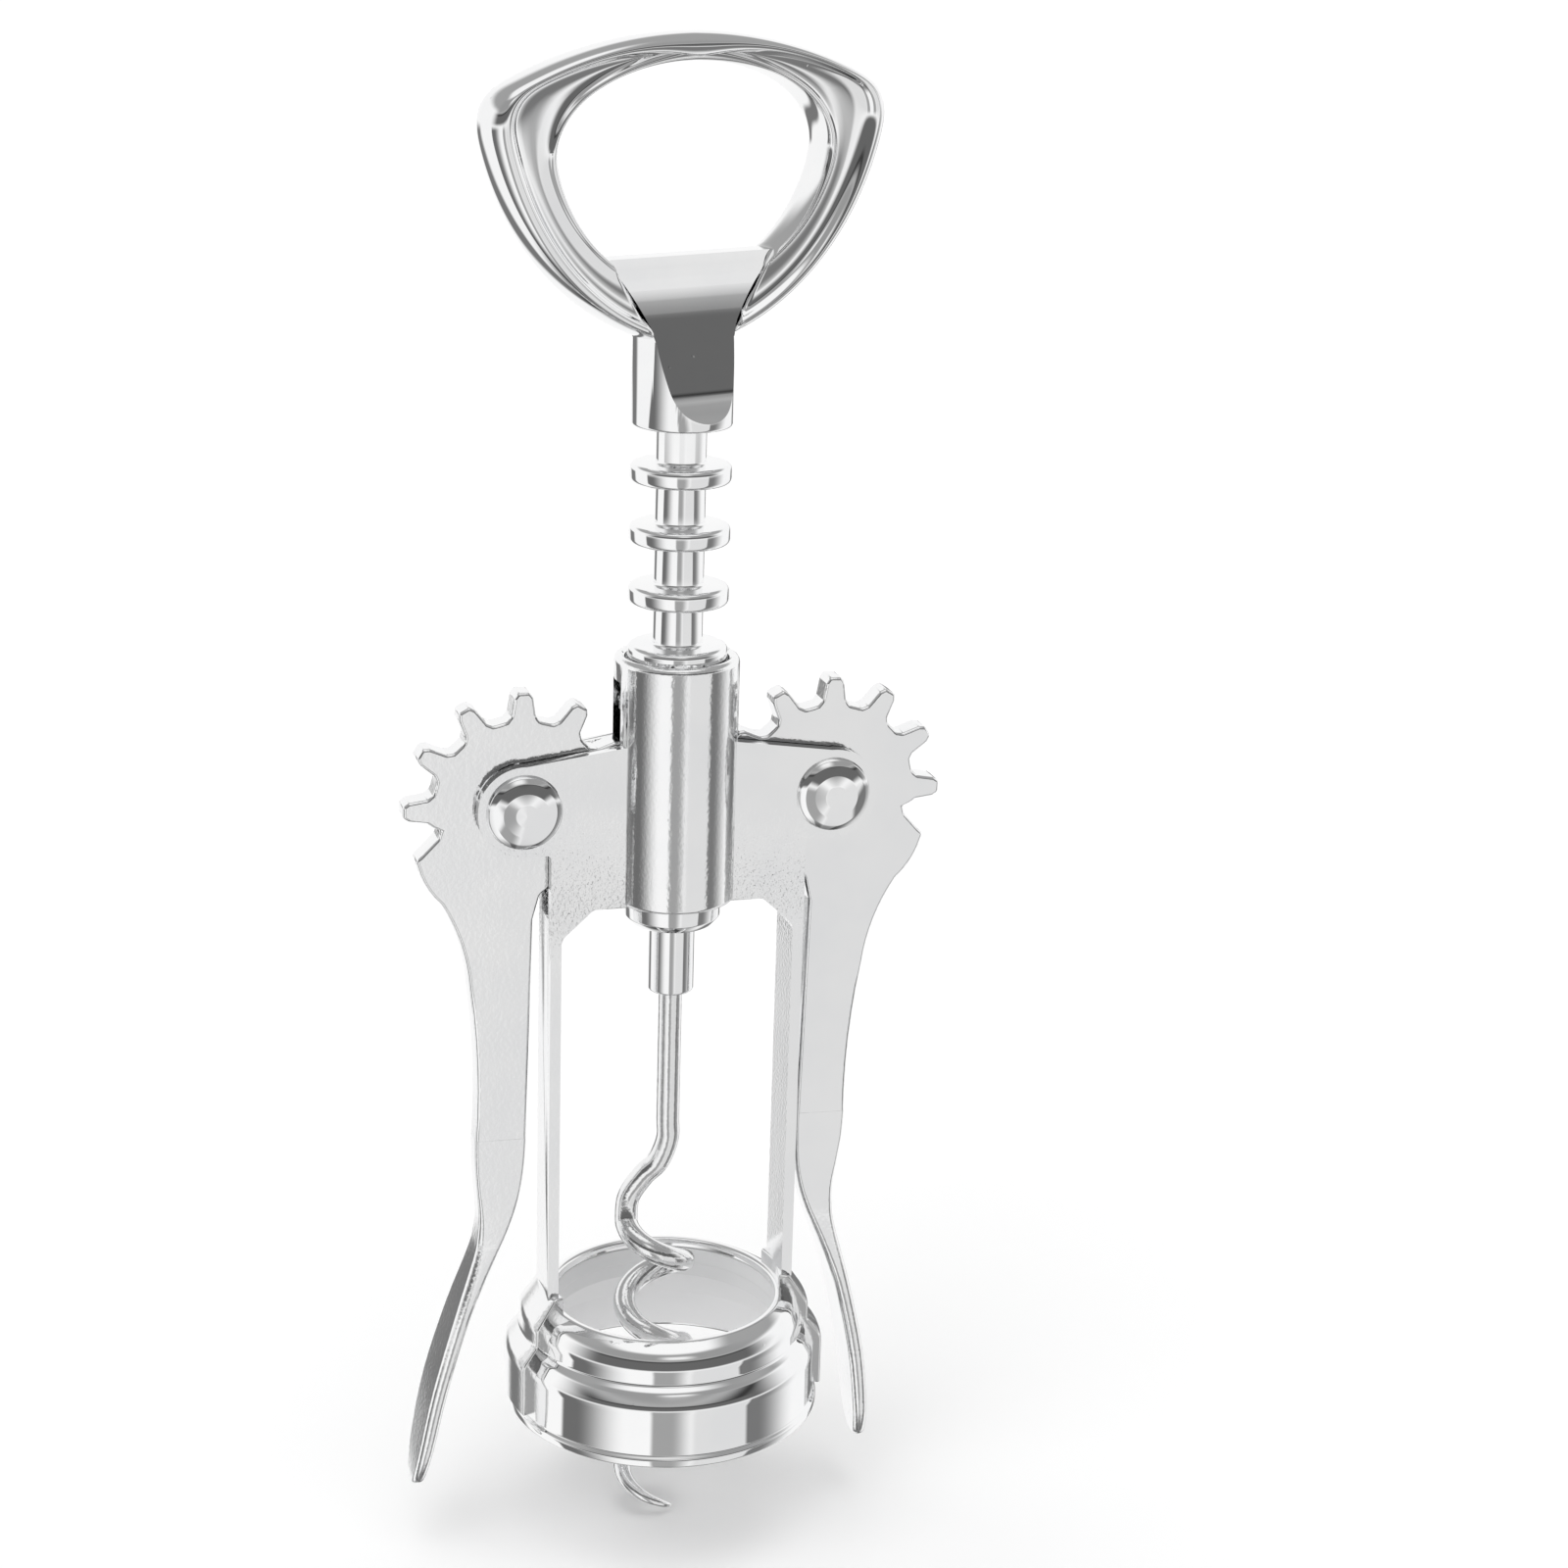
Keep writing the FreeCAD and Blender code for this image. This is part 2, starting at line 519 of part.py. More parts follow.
def make_rack():
    """The rack: a shaft with rings, a spigot for the handle and an end that grips the worm."""
    body = new_body("rack")
    shaft = new_sketch(body, "shaft", "XZ_Plane")
    outline(shaft, [
        ("0", RACK_BOTTOM),
        ("ferrule_radius - edge_break", RACK_BOTTOM),
        ("ferrule_radius", RACK_BOTTOM + " + edge_break"),
        ("ferrule_radius", COLLAR_BOTTOM),
        ("shaft_radius", COLLAR_BOTTOM),
        ("shaft_radius", HANDLE_BASE + " + spigot_length"),
        ("0", HANDLE_BASE + " + spigot_length"),
    ])
    spin(body, "Revolution", shaft)
    ring = new_sketch(body, "ring", "XZ_Plane")
    outline(ring, [
        ("shaft_radius - ring_bevel", LAST_RING + " - ring_thick / 2"),
        ("ring_radius - ring_bevel", LAST_RING + " - ring_thick / 2"),
        ("ring_radius", LAST_RING + " - ring_thick / 2 + ring_bevel"),
        ("ring_radius", LAST_RING + " + ring_thick / 2 - ring_bevel"),
        ("ring_radius - ring_bevel", LAST_RING + " + ring_thick / 2"),
        ("shaft_radius - ring_bevel", LAST_RING + " + ring_thick / 2"),
    ])
    first = spin(body, "Revolution", ring)
    stack = body.newObject("PartDesign::LinearPattern", "rings")
    stack.Originals = [first]
    stack.Direction = (ring, ["V_Axis"])
    stack.Length = number("ring_pitch * (ring_count - 1)")
    stack.setExpression("Length", bound("ring_pitch * (ring_count - 1)"))
    stack.Occurrences = int(number("ring_count"))
    stack.setExpression("Occurrences", bound("ring_count"))
    body.Tip = stack
    doc.recompute()
    socket = new_sketch(body, "worm_socket", "XZ_Plane")
    outline(socket, [
        ("0", RACK_BOTTOM + " - overrun"),
        ("wire_radius", RACK_BOTTOM + " - overrun"),
        ("wire_radius", RACK_BOTTOM + " + worm_grip"),
        ("0", RACK_BOTTOM + " + worm_grip"),
    ])
    spin(body, "Groove", socket)
    return body


def make_collar():
    """The plain collar that guides the rack's lower end in the tube."""
    body = new_body("guide_collar")
    ring = new_sketch(body, "collar_ring", "XZ_Plane")
    outline(ring, [
        ("shaft_radius + pin_clear", COLLAR_BOTTOM),
        ("collar_radius - edge_break", COLLAR_BOTTOM),
        ("collar_radius", COLLAR_BOTTOM + " + edge_break"),
        ("collar_radius", COLLAR_TOP),
        ("shaft_radius + pin_clear", COLLAR_TOP),
    ])
    spin(body, "Revolution", ring)
    return body


def make_handle():
    """The handle above its own base: socket, cap-lifting loop, and the scoops below its lip."""
    body = new_body("handle")
    socket = new_sketch(body, "socket", "XZ_Plane")
    outline(socket, [
        ("0", "0"),
        ("socket_radius - edge_break", "0"),
        ("socket_radius", "edge_break"),
        ("socket_radius", "socket_top"),
        ("0", "socket_top + socket_radius / 2"),
    ])
    spin(body, "Revolution", socket)
    loop = new_sketch(body, "loop", "XZ_Plane")
    corner_top = "(corner_high + corner_radius * cos(shoulder_top))"
    corner_in = "(corner_out + corner_radius * sin(shoulder_top))"
    side_out = "(corner_out + corner_radius * cos(shoulder_low))"
    side_high = "(corner_high - corner_radius * sin(shoulder_low))"
    fall = "(handle_top - %s)" % corner_top
    crown_bow = "((%s ^ 2 + %s ^ 2) / (2 * %s))" % (corner_in, fall, fall)
    outline(loop, [
        ("0", "handle_top"),
        (corner_in, corner_top),
        (side_out, side_high),
        ("loop_foot", "socket_top - loop_sink"),
        ("-1 * loop_foot", "socket_top - loop_sink"),
        ("-1 * " + side_out, side_high),
        ("-1 * " + corner_in, corner_top),
    ], {0: crown_bow, 1: "corner_radius", 2: "loop_side", 4: "loop_side", 5: "corner_radius",
        6: crown_bow})
    extrude(body, "Pad", loop, "loop_thick")
    opening = new_sketch(body, "opening", "XZ_Plane")
    outline(opening, [
        ("0", "opening_top"),
        ("opening_half", "opening_mid"),
        ("lip_half", "lip_height"),
        ("-1 * lip_half", "lip_height"),
        ("-1 * opening_half", "opening_mid"),
    ], {0: "opening_crown", 1: "opening_side", 3: "opening_side", 4: "opening_crown"})
    extrude(body, "Pocket", opening, "4 * loop_thick")
    for name, side in (("front_scoop", "-1"), ("back_scoop", "1")):
        scoop = new_sketch(body, name, "YZ_Plane")
        outline(scoop, [
            (side + " * socket_radius", "scoop_rise"),
            (side + " * scoop_out", "scoop_low"),
            (side + " * scoop_depth", "scoop_high"),
            (side + " * lip_depth", "lip_height"),
            (side + " * lip_depth", "lip_height + overrun"),
            (side + " * 2 * socket_radius", "lip_height + overrun"),
            (side + " * 2 * socket_radius", "scoop_rise"),
        ])
        extrude(body, "Pocket", scoop, "2 * (lip_half - scoop_margin)")
    hole = new_sketch(body, "spigot_hole", "XZ_Plane")
    outline(hole, [
        ("0", "-1 * overrun"),
        ("shaft_radius", "-1 * overrun"),
        ("shaft_radius", "spigot_length"),
        ("0", "spigot_length"),
    ])
    spin(body, "Groove", hole)
    body.Placement = FreeCAD.Placement(
        FreeCAD.Vector(0, 0, number(HANDLE_BASE)),
        FreeCAD.Rotation(FreeCAD.Vector(0, 0, 1), number("handle_turn")))
    body.setExpression("Placement.Base.z", bound(HANDLE_BASE))
    body.setExpression("Placement.Rotation.Angle", bound("handle_turn"))
    return body


HELIX_STEP = 30


def worm_path():
    """Points down the middle of the worm's wire: shank's end, run-out, then the left-hand helix."""
    radius = number("coil_radius")
    slope = number("coil_pitch") / (2 * math.pi)
    shift = FreeCAD.Vector(-number("coil_shift"), 0, 0)
    start = math.radians(number("coil_angle"))
    end = start + (number("coil_start") - number("worm_tip")) / slope

    def on_helix(angle):
        height = number("coil_start") - slope * (angle - start)
        return FreeCAD.Vector(radius * math.cos(angle), radius * math.sin(angle), height) + shift

    points = [FreeCAD.Vector(0, 0, number("shank_end"))]
    for name, *_ in RUN_OUT:
        points.append(FreeCAD.Vector(*(number("%s_%s" % (name, axis)) for axis in "xyz")))
    count = int(math.ceil((end - start) / math.radians(HELIX_STEP)))
    for step in range(count + 1):
        points.append(on_helix(start + (end - start) * step / count))
    return points


def swept(curve, first, last, radii):
    """A round wire along part of a curve, with a radius for one or both of its ends."""
    sweep = Part.BRepOffsetAPI.MakePipeShell(Part.Wire([curve.toShape(first, last)]))
    sweep.setFrenetMode(False)
    for parameter, radius in zip((first, last), radii):
        way = FreeCAD.Vector(*curve.tangent(parameter)[0])
        sweep.add(Part.Wire([Part.Circle(curve.value(parameter), way, radius).toShape()]))
    sweep.build()
    sweep.makeSolid()
    return sweep.shape()


def make_worm():
    """The worm: one wire down its path, drawn out to a point at its lower end."""
    points = worm_path()
    curve = Part.BSplineCurve()
    curve.interpolate(Points=points, InitialTangent=FreeCAD.Vector(0, 0, -1),
                      FinalTangent=(points[-1] - points[-2]).normalize())
    wire = number("wire_radius")
    taper_points = int(number("point_turn") / HELIX_STEP)
    taper_start = curve.parameter(points[-1 - taper_points])
    shank = Part.makeCylinder(wire, number(RACK_BOTTOM + " + worm_grip - shank_end"), points[0])
    coil = swept(curve, curve.FirstParameter, taper_start, [wire])
    point = swept(curve, taper_start, curve.LastParameter, [wire, number("point_radius")])
    worm = doc.addObject("Part::Feature", "worm")
    worm.Label = "worm"
    worm.Shape = shank.fuse([coil, point])
    return worm


pieces = [
    make_frame(),
    make_bell(),
    make_liner(),
    make_lever(-1),
    make_lever(1),
    make_rivet(-1),
    make_rivet(1),
    make_rack(),
    make_collar(),
    make_worm(),
    make_handle(),
]
doc.recompute()

for item in doc.Objects:
    if "Invalid" in item.State or "Error" in item.State:
        raise RuntimeError("failed object: %s %s" % (item.Name, item.State))
for piece in pieces:
    if piece.Shape.isNull() or not piece.Shape.isValid() or len(piece.Shape.Solids) != 1:
        raise RuntimeError("bad shape: " + piece.Label)
for piece in pieces:
    piece.Shape.exportStep("parts/%s.step" % piece.Label)
    box = piece.Shape.BoundBox
    print("%-12s volume %8.1f  x %6.1f %6.1f  y %5.1f %5.1f  z %6.1f %6.1f" % (
        piece.Label, piece.Shape.Volume, box.XMin, box.XMax, box.YMin, box.YMax, box.ZMin, box.ZMax))
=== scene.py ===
import bisect
import json
import math

import bmesh
import bpy
from mathutils import Matrix, Vector


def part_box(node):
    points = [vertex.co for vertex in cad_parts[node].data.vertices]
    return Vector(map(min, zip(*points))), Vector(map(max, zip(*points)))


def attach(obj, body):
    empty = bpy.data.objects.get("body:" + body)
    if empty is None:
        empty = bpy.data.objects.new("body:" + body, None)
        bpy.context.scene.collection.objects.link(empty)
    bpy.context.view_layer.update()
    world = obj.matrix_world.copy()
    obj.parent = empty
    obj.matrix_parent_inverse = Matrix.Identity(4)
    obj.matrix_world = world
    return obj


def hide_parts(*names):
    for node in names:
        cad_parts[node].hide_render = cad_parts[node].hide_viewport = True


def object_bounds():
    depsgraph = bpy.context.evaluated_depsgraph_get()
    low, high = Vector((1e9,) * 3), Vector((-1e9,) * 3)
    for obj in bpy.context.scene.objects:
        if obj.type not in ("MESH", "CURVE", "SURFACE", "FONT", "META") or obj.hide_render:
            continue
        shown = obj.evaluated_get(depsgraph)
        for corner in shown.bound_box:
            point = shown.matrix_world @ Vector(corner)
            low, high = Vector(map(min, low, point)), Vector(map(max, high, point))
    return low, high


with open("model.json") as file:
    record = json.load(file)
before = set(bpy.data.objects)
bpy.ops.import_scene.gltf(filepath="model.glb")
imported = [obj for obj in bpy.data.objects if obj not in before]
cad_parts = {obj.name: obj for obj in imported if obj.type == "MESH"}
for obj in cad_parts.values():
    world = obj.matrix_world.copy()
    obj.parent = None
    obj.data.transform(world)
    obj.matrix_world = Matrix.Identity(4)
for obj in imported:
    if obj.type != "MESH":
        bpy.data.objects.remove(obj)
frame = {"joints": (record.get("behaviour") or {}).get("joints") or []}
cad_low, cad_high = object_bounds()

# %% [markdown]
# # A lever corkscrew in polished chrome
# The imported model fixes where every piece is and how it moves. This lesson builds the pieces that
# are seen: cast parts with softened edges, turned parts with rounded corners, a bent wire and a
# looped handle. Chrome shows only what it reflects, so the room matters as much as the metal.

MM = 0.001
scene = bpy.context.scene
print("box in mm:", [round(c / MM, 1) for c in cad_low], [round(c / MM, 1) for c in cad_high])

# %% [markdown]
# ## The sizes that the pieces share
# The corkscrew stands on the Z axis with its front towards -Y, and its sizes are in millimetres.
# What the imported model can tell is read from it; the rest are the maker's own sizes.

# %% Shared sizes
def node_box(name):
    """The lowest and highest corner of a node, in millimetres."""
    low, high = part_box(name)
    return Vector(low) / MM, Vector(high) / MM


joints = {joint["name"]: joint for joint in frame["joints"]}
PIVOT = Vector(joints["right_lever_turn"]["pos_m"]) / MM
TUBE_LOW, TUBE_HIGH = 60.2, node_box("frame")[1].z
TUBE_RADIUS = node_box("frame")[1].y
BORE = 5.6  # radius of the tube's inside
CHEEK_OUT, CHEEK_IN = 3.0, 1.7  # a cheek plate's two faces, from the middle plane
LEG_IN, LEG_OUT = 12.9, 14.1  # a leg's two faces, from the axis
BELL_HEIGHT = node_box("bell")[1].z
BELL_RADIUS = 17.1
RING_RADIUS = 5.32  # the rack's rings
RING_PITCH = 6.484
AXIS = 0.001  # a turned profile starts this far from its axis, so that no face is empty
print("pivot", [round(c, 2) for c in PIVOT], "tube", round(TUBE_RADIUS, 2), round(TUBE_HIGH, 2))

# %% [markdown]
# ## Flat outlines
# A casting is drawn as an outline first, as a pattern maker cuts it from card. Two helpers are
# enough: an arc between two points, and a walk round an outline that rounds off its corners.

# %% Arcs and rounded corners
def arc(centre, radius, start, end, steps):
    """Points on an arc, with its angles in degrees."""
    points = []
    for step in range(steps + 1):
        angle = math.radians(start + (end - start) * step / steps)
        points.append(Vector((centre[0] + radius * math.cos(angle),
                              centre[1] + radius * math.sin(angle))))
    return points


def bowed(start, end, radius, steps):
    """Points from start to end on an arc. A positive radius bows to the left of the way."""
    start, end = Vector(start), Vector(end)
    half = (end - start) / 2
    side = Vector((-half.y, half.x)).normalized() * math.copysign(1, radius)
    centre = start + half - side * math.sqrt(max(radius ** 2 - half.length ** 2, 0))
    first = math.degrees(math.atan2(start.y - centre.y, start.x - centre.x))
    last = math.degrees(math.atan2(end.y - centre.y, end.x - centre.x))
    if radius > 0 and last > first:
        last -= 360
    if radius < 0 and last < first:
        last += 360
    return arc(centre, abs(radius), first, last, steps)


def softened(corners, radius, steps=4, closed=True):
    """The outline with its corners rounded. Each corner is (x, y) or (x, y, its own radius)."""
    points = []
    count = len(corners)
    nearly_straight = math.radians(174)
    for index in range(count):
        here = Vector(corners[index][:2])
        size = corners[index][2] if len(corners[index]) > 2 else radius
        if size <= 0 or (not closed and index in (0, count - 1)):
            points.append(here)
            continue
        before = Vector(corners[index - 1][:2]) - here
        after = Vector(corners[(index + 1) % count][:2]) - here
        if before.length < 1e-6 or after.length < 1e-6:
            points.append(here)
            continue
        opening = before.angle(after)
        if opening > nearly_straight:
            points.append(here)
            continue
        reach = min(size / math.tan(opening / 2), 0.48 * before.length, 0.48 * after.length)
        size = reach * math.tan(opening / 2)
        bisector = (before.normalized() + after.normalized()).normalized()
        centre = here + bisector * (size / math.sin(opening / 2))
        first = here + before.normalized() * reach - centre
        last = here + after.normalized() * reach - centre
        turn = first.angle_signed(last)
        for step in range(steps + 1):
            points.append(centre + Matrix.Rotation(-turn * step / steps, 2) @ first)
    return points


print("a quarter arc has", len(arc((0, 0), 1, 0, 90, 8)), "points")

# %% [markdown]
# ## From outlines to solids
# Three ways of making cover nearly everything here. A turned part is an outline spun about its
# axis. A cast plate is an outline given thickness. A bent part is a ring of points carried along a
# line of places. Each one is plain mesh code, so every edge is where the maker wants it.

# %% Mesh helpers
WELD = 1e-7  # metres: points closer than this become one


def new_piece(name, mesh_data, smooth_angle=32):
    """A mesh object made from a bmesh, smooth except at real edges."""
    bmesh.ops.remove_doubles(mesh_data, verts=mesh_data.verts, dist=WELD)
    bmesh.ops.recalc_face_normals(mesh_data, faces=mesh_data.faces)
    mesh = bpy.data.meshes.new(name)
    mesh_data.to_mesh(mesh)
    mesh_data.free()
    for polygon in mesh.polygons:
        polygon.use_smooth = True
    mesh.set_sharp_from_angle(angle=math.radians(smooth_angle))
    piece = bpy.data.objects.new(name, mesh)
    scene.collection.objects.link(piece)
    return piece


def skin(data, rings, close_ring=True, close_ends=True, join_ends=False):
    """Faces between rings of points, in millimetres."""
    made = [[data.verts.new(Vector(point) * MM) for point in ring] for ring in rings]
    pairs = list(zip(made, made[1:]))
    if join_ends:
        pairs.append((made[-1], made[0]))
    for low, high in pairs:
        count = len(low)
        for index in range(count if close_ring else count - 1):
            after = (index + 1) % count
            data.faces.new((low[index], low[after], high[after], high[index]))
    if close_ends and not join_ends:
        data.faces.new(made[0][::-1])
        data.faces.new(made[-1])


def turned(data, profile, steps=128, centre=(0, 0), first=0, last=360, closed=True):
    """Spin a profile of (radius, height) about an upright axis."""
    whole = abs(last - first - 360) < 1e-6
    rings = []
    for step in range(steps if whole else steps + 1):
        angle = math.radians(first + (last - first) * step / steps)
        rings.append([(centre[0] + r * math.cos(angle), centre[1] + r * math.sin(angle), z)
                      for r, z in profile])
    skin(data, rings, close_ring=closed, close_ends=not whole, join_ends=whole)


def slab(data, outline, back, front):
    """An outline in x and z given thickness from y = back to y = front."""
    skin(data, [[(x, back, z) for x, z in outline], [(x, front, z) for x, z in outline]])


def tidy_up(piece, *modifiers):
    """Apply modifiers, each given as (type, settings)."""
    for kind, settings in modifiers:
        modifier = piece.modifiers.new(kind, kind)
        for key, value in settings.items():
            setattr(modifier, key, value)
    depsgraph = bpy.context.evaluated_depsgraph_get()
    shape = bpy.data.meshes.new_from_object(piece.evaluated_get(depsgraph))
    old = piece.data
    piece.modifiers.clear()
    piece.data = shape
    bpy.data.meshes.remove(old)
    return piece


def combined(piece, tool, operation):
    """Cut a tool from a piece, or add it, and put the tool away."""
    bpy.context.view_layer.update()
    tidy_up(piece, ("BOOLEAN", {"object": tool, "operation": operation, "solver": "EXACT"}))
    bpy.data.objects.remove(tool)
    return piece


def eased(piece, width, segments=3, angle=30):
    """Soften the sharp edges, as plating and polishing do."""
    tidy_up(piece, ("BEVEL", {"width": width * MM, "segments": segments, "limit_method": "ANGLE",
                              "angle_limit": math.radians(angle), "use_clamp_overlap": True,
                              "harden_normals": False}))
    for polygon in piece.data.polygons:
        polygon.use_smooth = True
    tidy_up(piece, ("WEIGHTED_NORMAL", {"mode": "FACE_AREA", "weight": 80, "keep_sharp": False}))
    return piece


def joined(name, pieces):
    """One object from several, shaded so that its flats stay flat up to their soft edges."""
    data = bmesh.new()
    for piece in pieces:
        data.from_mesh(piece.data)
        bpy.data.objects.remove(piece)
    mesh = bpy.data.meshes.new(name)
    data.to_mesh(mesh)
    data.free()
    piece = bpy.data.objects.new(name, mesh)
    scene.collection.objects.link(piece)
    return tidy_up(piece, ("WEIGHTED_NORMAL", {"mode": "FACE_AREA", "weight": 80, "keep_sharp": True}))


def settle(piece, body, node, finish):
    """Give the piece its finish, hang it on the body that carries it, and hide the node it stands for."""
    piece.data.materials.clear()
    piece.data.materials.append(finish)
    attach(piece, body)
    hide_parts(node)
    print(piece.name, len(piece.data.polygons), "faces on", body)
    return piece


# %% [markdown]
# ## Shader maths as plain sums
# A finish is a sum over the surface: a little noise here, a mask there. Wrapping a socket in a
# small class lets those sums be written as Python, and each one adds its own Math node.

# %% One class for shader sockets
class Wire:
    """A value that flows from one node to the next."""

    def __init__(self, tree, socket):
        self.tree = tree
        self.socket = socket

    def node(self, kind, settings=None, values=None, output=0):
        """Add any node: settings first, then what its sockets hold or are linked to."""
        made = self.tree.nodes.new(kind)
        for key, value in (settings or {}).items():
            if key == "stops":
                while len(made.color_ramp.elements) < len(value):
                    made.color_ramp.elements.new(1.0)
                for element, (place, shade) in zip(made.color_ramp.elements, value):
                    element.position = place
                    element.color = (*shade, 1) if isinstance(shade, tuple) else (*(shade,) * 3, 1)
            else:
                setattr(made, key, value)
        for key, value in (values or {}).items():
            if isinstance(value, Wire):
                self.tree.links.new(value.socket, made.inputs[key])
            else:
                made.inputs[key].default_value = value
        return Wire(self.tree, made.outputs[output]) if len(made.outputs) else made

    def sum_with(self, operation, first, second):
        return self.node("ShaderNodeMath", {"operation": operation}, {0: first, 1: second})

    def __add__(self, other):
        return self.sum_with("ADD", self, other)

    def __radd__(self, other):
        return self.sum_with("ADD", other, self)

    def __sub__(self, other):
        return self.sum_with("SUBTRACT", self, other)

    def __rsub__(self, other):
        return self.sum_with("SUBTRACT", other, self)

    def __mul__(self, other):
        return self.sum_with("MULTIPLY", self, other)

    def __rmul__(self, other):
        return self.sum_with("MULTIPLY", other, self)

    def __neg__(self):
        return self.sum_with("MULTIPLY", self, -1.0)

    def rise(self, low, high):
        """0 below low, 1 above high, and smooth between."""
        return self.node("ShaderNodeMapRange", {"interpolation_type": "SMOOTHSTEP", "clamp": True},
                         {"Value": self, "From Min": low, "From Max": high})

    def window(self, low, high, soft):
        """1 between low and high, with soft sides."""
        return self.rise(low - soft, low + soft) * (1 - self.rise(high - soft, high + soft))


def start_material(name):
    """An empty material, its Principled shader and a wire at the object's own coordinates."""
    material = bpy.data.materials.new(name)
    material.use_nodes = True
    tree = material.node_tree
    tree.nodes.clear()
    output = tree.nodes.new("ShaderNodeOutputMaterial")
    shader = tree.nodes.new("ShaderNodeBsdfPrincipled")
    tree.links.new(shader.outputs[0], output.inputs[0])
    coordinates = tree.nodes.new("ShaderNodeTexCoord")
    return material, shader, Wire(tree, coordinates.outputs["Object"])


def feed(shader, name, wire):
    """Link a wire to one of the shader's sockets."""
    wire.tree.links.new(wire.socket, shader.inputs[name])


print("wires ready")

# %% [markdown]
# ## Chrome
# Chrome plating is a mirror with a faint blue-grey cast. On a casting the mirror lies over a
# slightly pebbled surface, which breaks reflections into flecks; on turned and drawn parts it is
# nearly perfect. So one recipe serves all of it, with the depth of the pebbles as its main choice.

# %% The plated finishes
def noise(place, scale, detail=3.0, roughness=0.5):
    return place.node("ShaderNodeTexNoise", {"noise_dimensions": "3D"},
                      {"Vector": place, "Scale": scale, "Detail": detail, "Roughness": roughness})


def plating(name, shade, gloss, pebble=0.0, pebble_size=0.9, wave=0.0, specks=0.3, worn_low=0.0):
    """Chrome over a surface: gloss is roughness, pebble and wave are heights in millimetres.

    worn_low deepens the pebbles on the cheek plates' flat faces, just under the tube.
    """
    material, shader, place = start_material(name)
    shader.inputs["Metallic"].default_value = 1.0
    bright = (shade, shade, shade, 1)
    dull = (0.95 * shade, 0.955 * shade, 0.965 * shade, 1)
    haze = noise(place, 160.0, 4.0, 0.6)
    stain = noise(place, 45.0, 2.0)
    tone = place.node("ShaderNodeMix", {"data_type": "RGBA"}, {
        0: haze.rise(0.35, 0.7) * 0.5 + stain.rise(0.4, 0.75) * 0.5, 6: bright, 7: dull}, 2)
    feed(shader, "Base Color", tone)
    feed(shader, "Roughness", gloss + haze * (gloss * 0.9))
    height = noise(place, 70.0, 1.0) * wave
    if pebble:
        grain = noise(place, 1 / (pebble_size * MM), 2.0, 0.55)
        amount = pebble
        if worn_low:
            parts = place.node("ShaderNodeSeparateXYZ", {}, {0: place}).socket.node.outputs
            depth, high = Wire(place.tree, parts["Y"]), Wire(place.tree, parts["Z"])
            flats = 1 - (depth * depth).rise((3.05 * MM) ** 2, (3.3 * MM) ** 2)
            band = (1 - high.rise(0.060, 0.074)) * high.rise(0.052, 0.060)
            amount = pebble + band * flats * worn_low
        height = height + grain * amount
    dust = place.node("ShaderNodeTexVoronoi", {"feature": "F1"}, {"Vector": place, "Scale": 520.0})
    few = noise(place, 300.0, 0.0).rise(0.62, 0.66)
    height = height + (1 - dust.rise(0.0, 0.12)) * few * (specks * 0.02)
    feed(shader, "Normal", place.node("ShaderNodeBump", {}, {
        "Strength": 1.0, "Distance": MM, "Height": height}))
    return material


frame_chrome = plating("frame_chrome", 0.93, 0.06, pebble=0.014, pebble_size=0.35, wave=0.03,
                       worn_low=0.09)
lever_chrome = plating("lever_chrome", 0.93, 0.07, pebble=0.020, pebble_size=0.45, wave=0.04)
handle_chrome = plating("handle_chrome", 0.92, 0.03, wave=0.02, specks=0.8)
turned_chrome = plating("turned_chrome", 0.94, 0.03, wave=0.01)
bell_chrome = plating("bell_chrome", 0.94, 0.025, wave=0.008)
wire_chrome = plating("wire_chrome", 0.88, 0.07, pebble=0.02, pebble_size=0.5)
print("six plated finishes")

# %% [markdown]
# ## The bell's grey lining
# Inside the bell sits a plain moulded plastic ring. It is matte and nearly even in tone. A thin darker line
# round it at a small ledge is painted shade. Below the seat that stops the bottle it is painted lighter,
# which stands in for light from the floor coming up through the bell's mouth.

# %% The lining's plastic
def moulded_plastic(name, upper, painted_light_below, seat):
    """Plain plastic, one shade above the seat's height and a lighter one below it, with a darker line at the
    ledge near 10.2 mm. The lighter part is painted light from the floor through the bell's mouth, and the
    line is painted shade.
    """
    material, shader, place = start_material(name)
    parts = place.node("ShaderNodeSeparateXYZ", {}, {0: place}).socket.node.outputs
    height = Wire(place.tree, parts["Z"])
    cloud = noise(place, 60.0, 2.0)
    # A darker line at the small ledge near 10.2 mm: painted shade.
    line = height.window(10.15 * MM, 10.35 * MM, 0.05 * MM)
    # Below the seat the colour is painted lighter, as painted light standing in for light from the floor
    # through the bell's mouth.
    shade = place.node("ShaderNodeMix", {"data_type": "RGBA"}, {
        0: height.rise((seat - 0.2) * MM, (seat + 0.05) * MM) * (0.92 + cloud * 0.08) + line * 0.35,
        6: (painted_light_below, painted_light_below, painted_light_below * 1.005, 1),
        7: (upper, upper * 1.003, upper * 1.008, 1)}, 2)
    feed(shader, "Base Color", shade)
    feed(shader, "Roughness", 0.5 + cloud * 0.15)
    grain = noise(place, 2500.0, 2.0)
    feed(shader, "Normal", place.node("ShaderNodeBump", {}, {
        "Strength": 0.3, "Distance": 0.01 * MM, "Height": grain}))
    return material


LINER_SEAT = 8.5  # height of the ledge that stops the bottle
# The lining is painted lighter below the seat as painted light, and darker at its ledge as painted shade.
liner_plastic = moulded_plastic("liner_plastic", 0.86, 0.95, LINER_SEAT)
print("lining plastic ready")

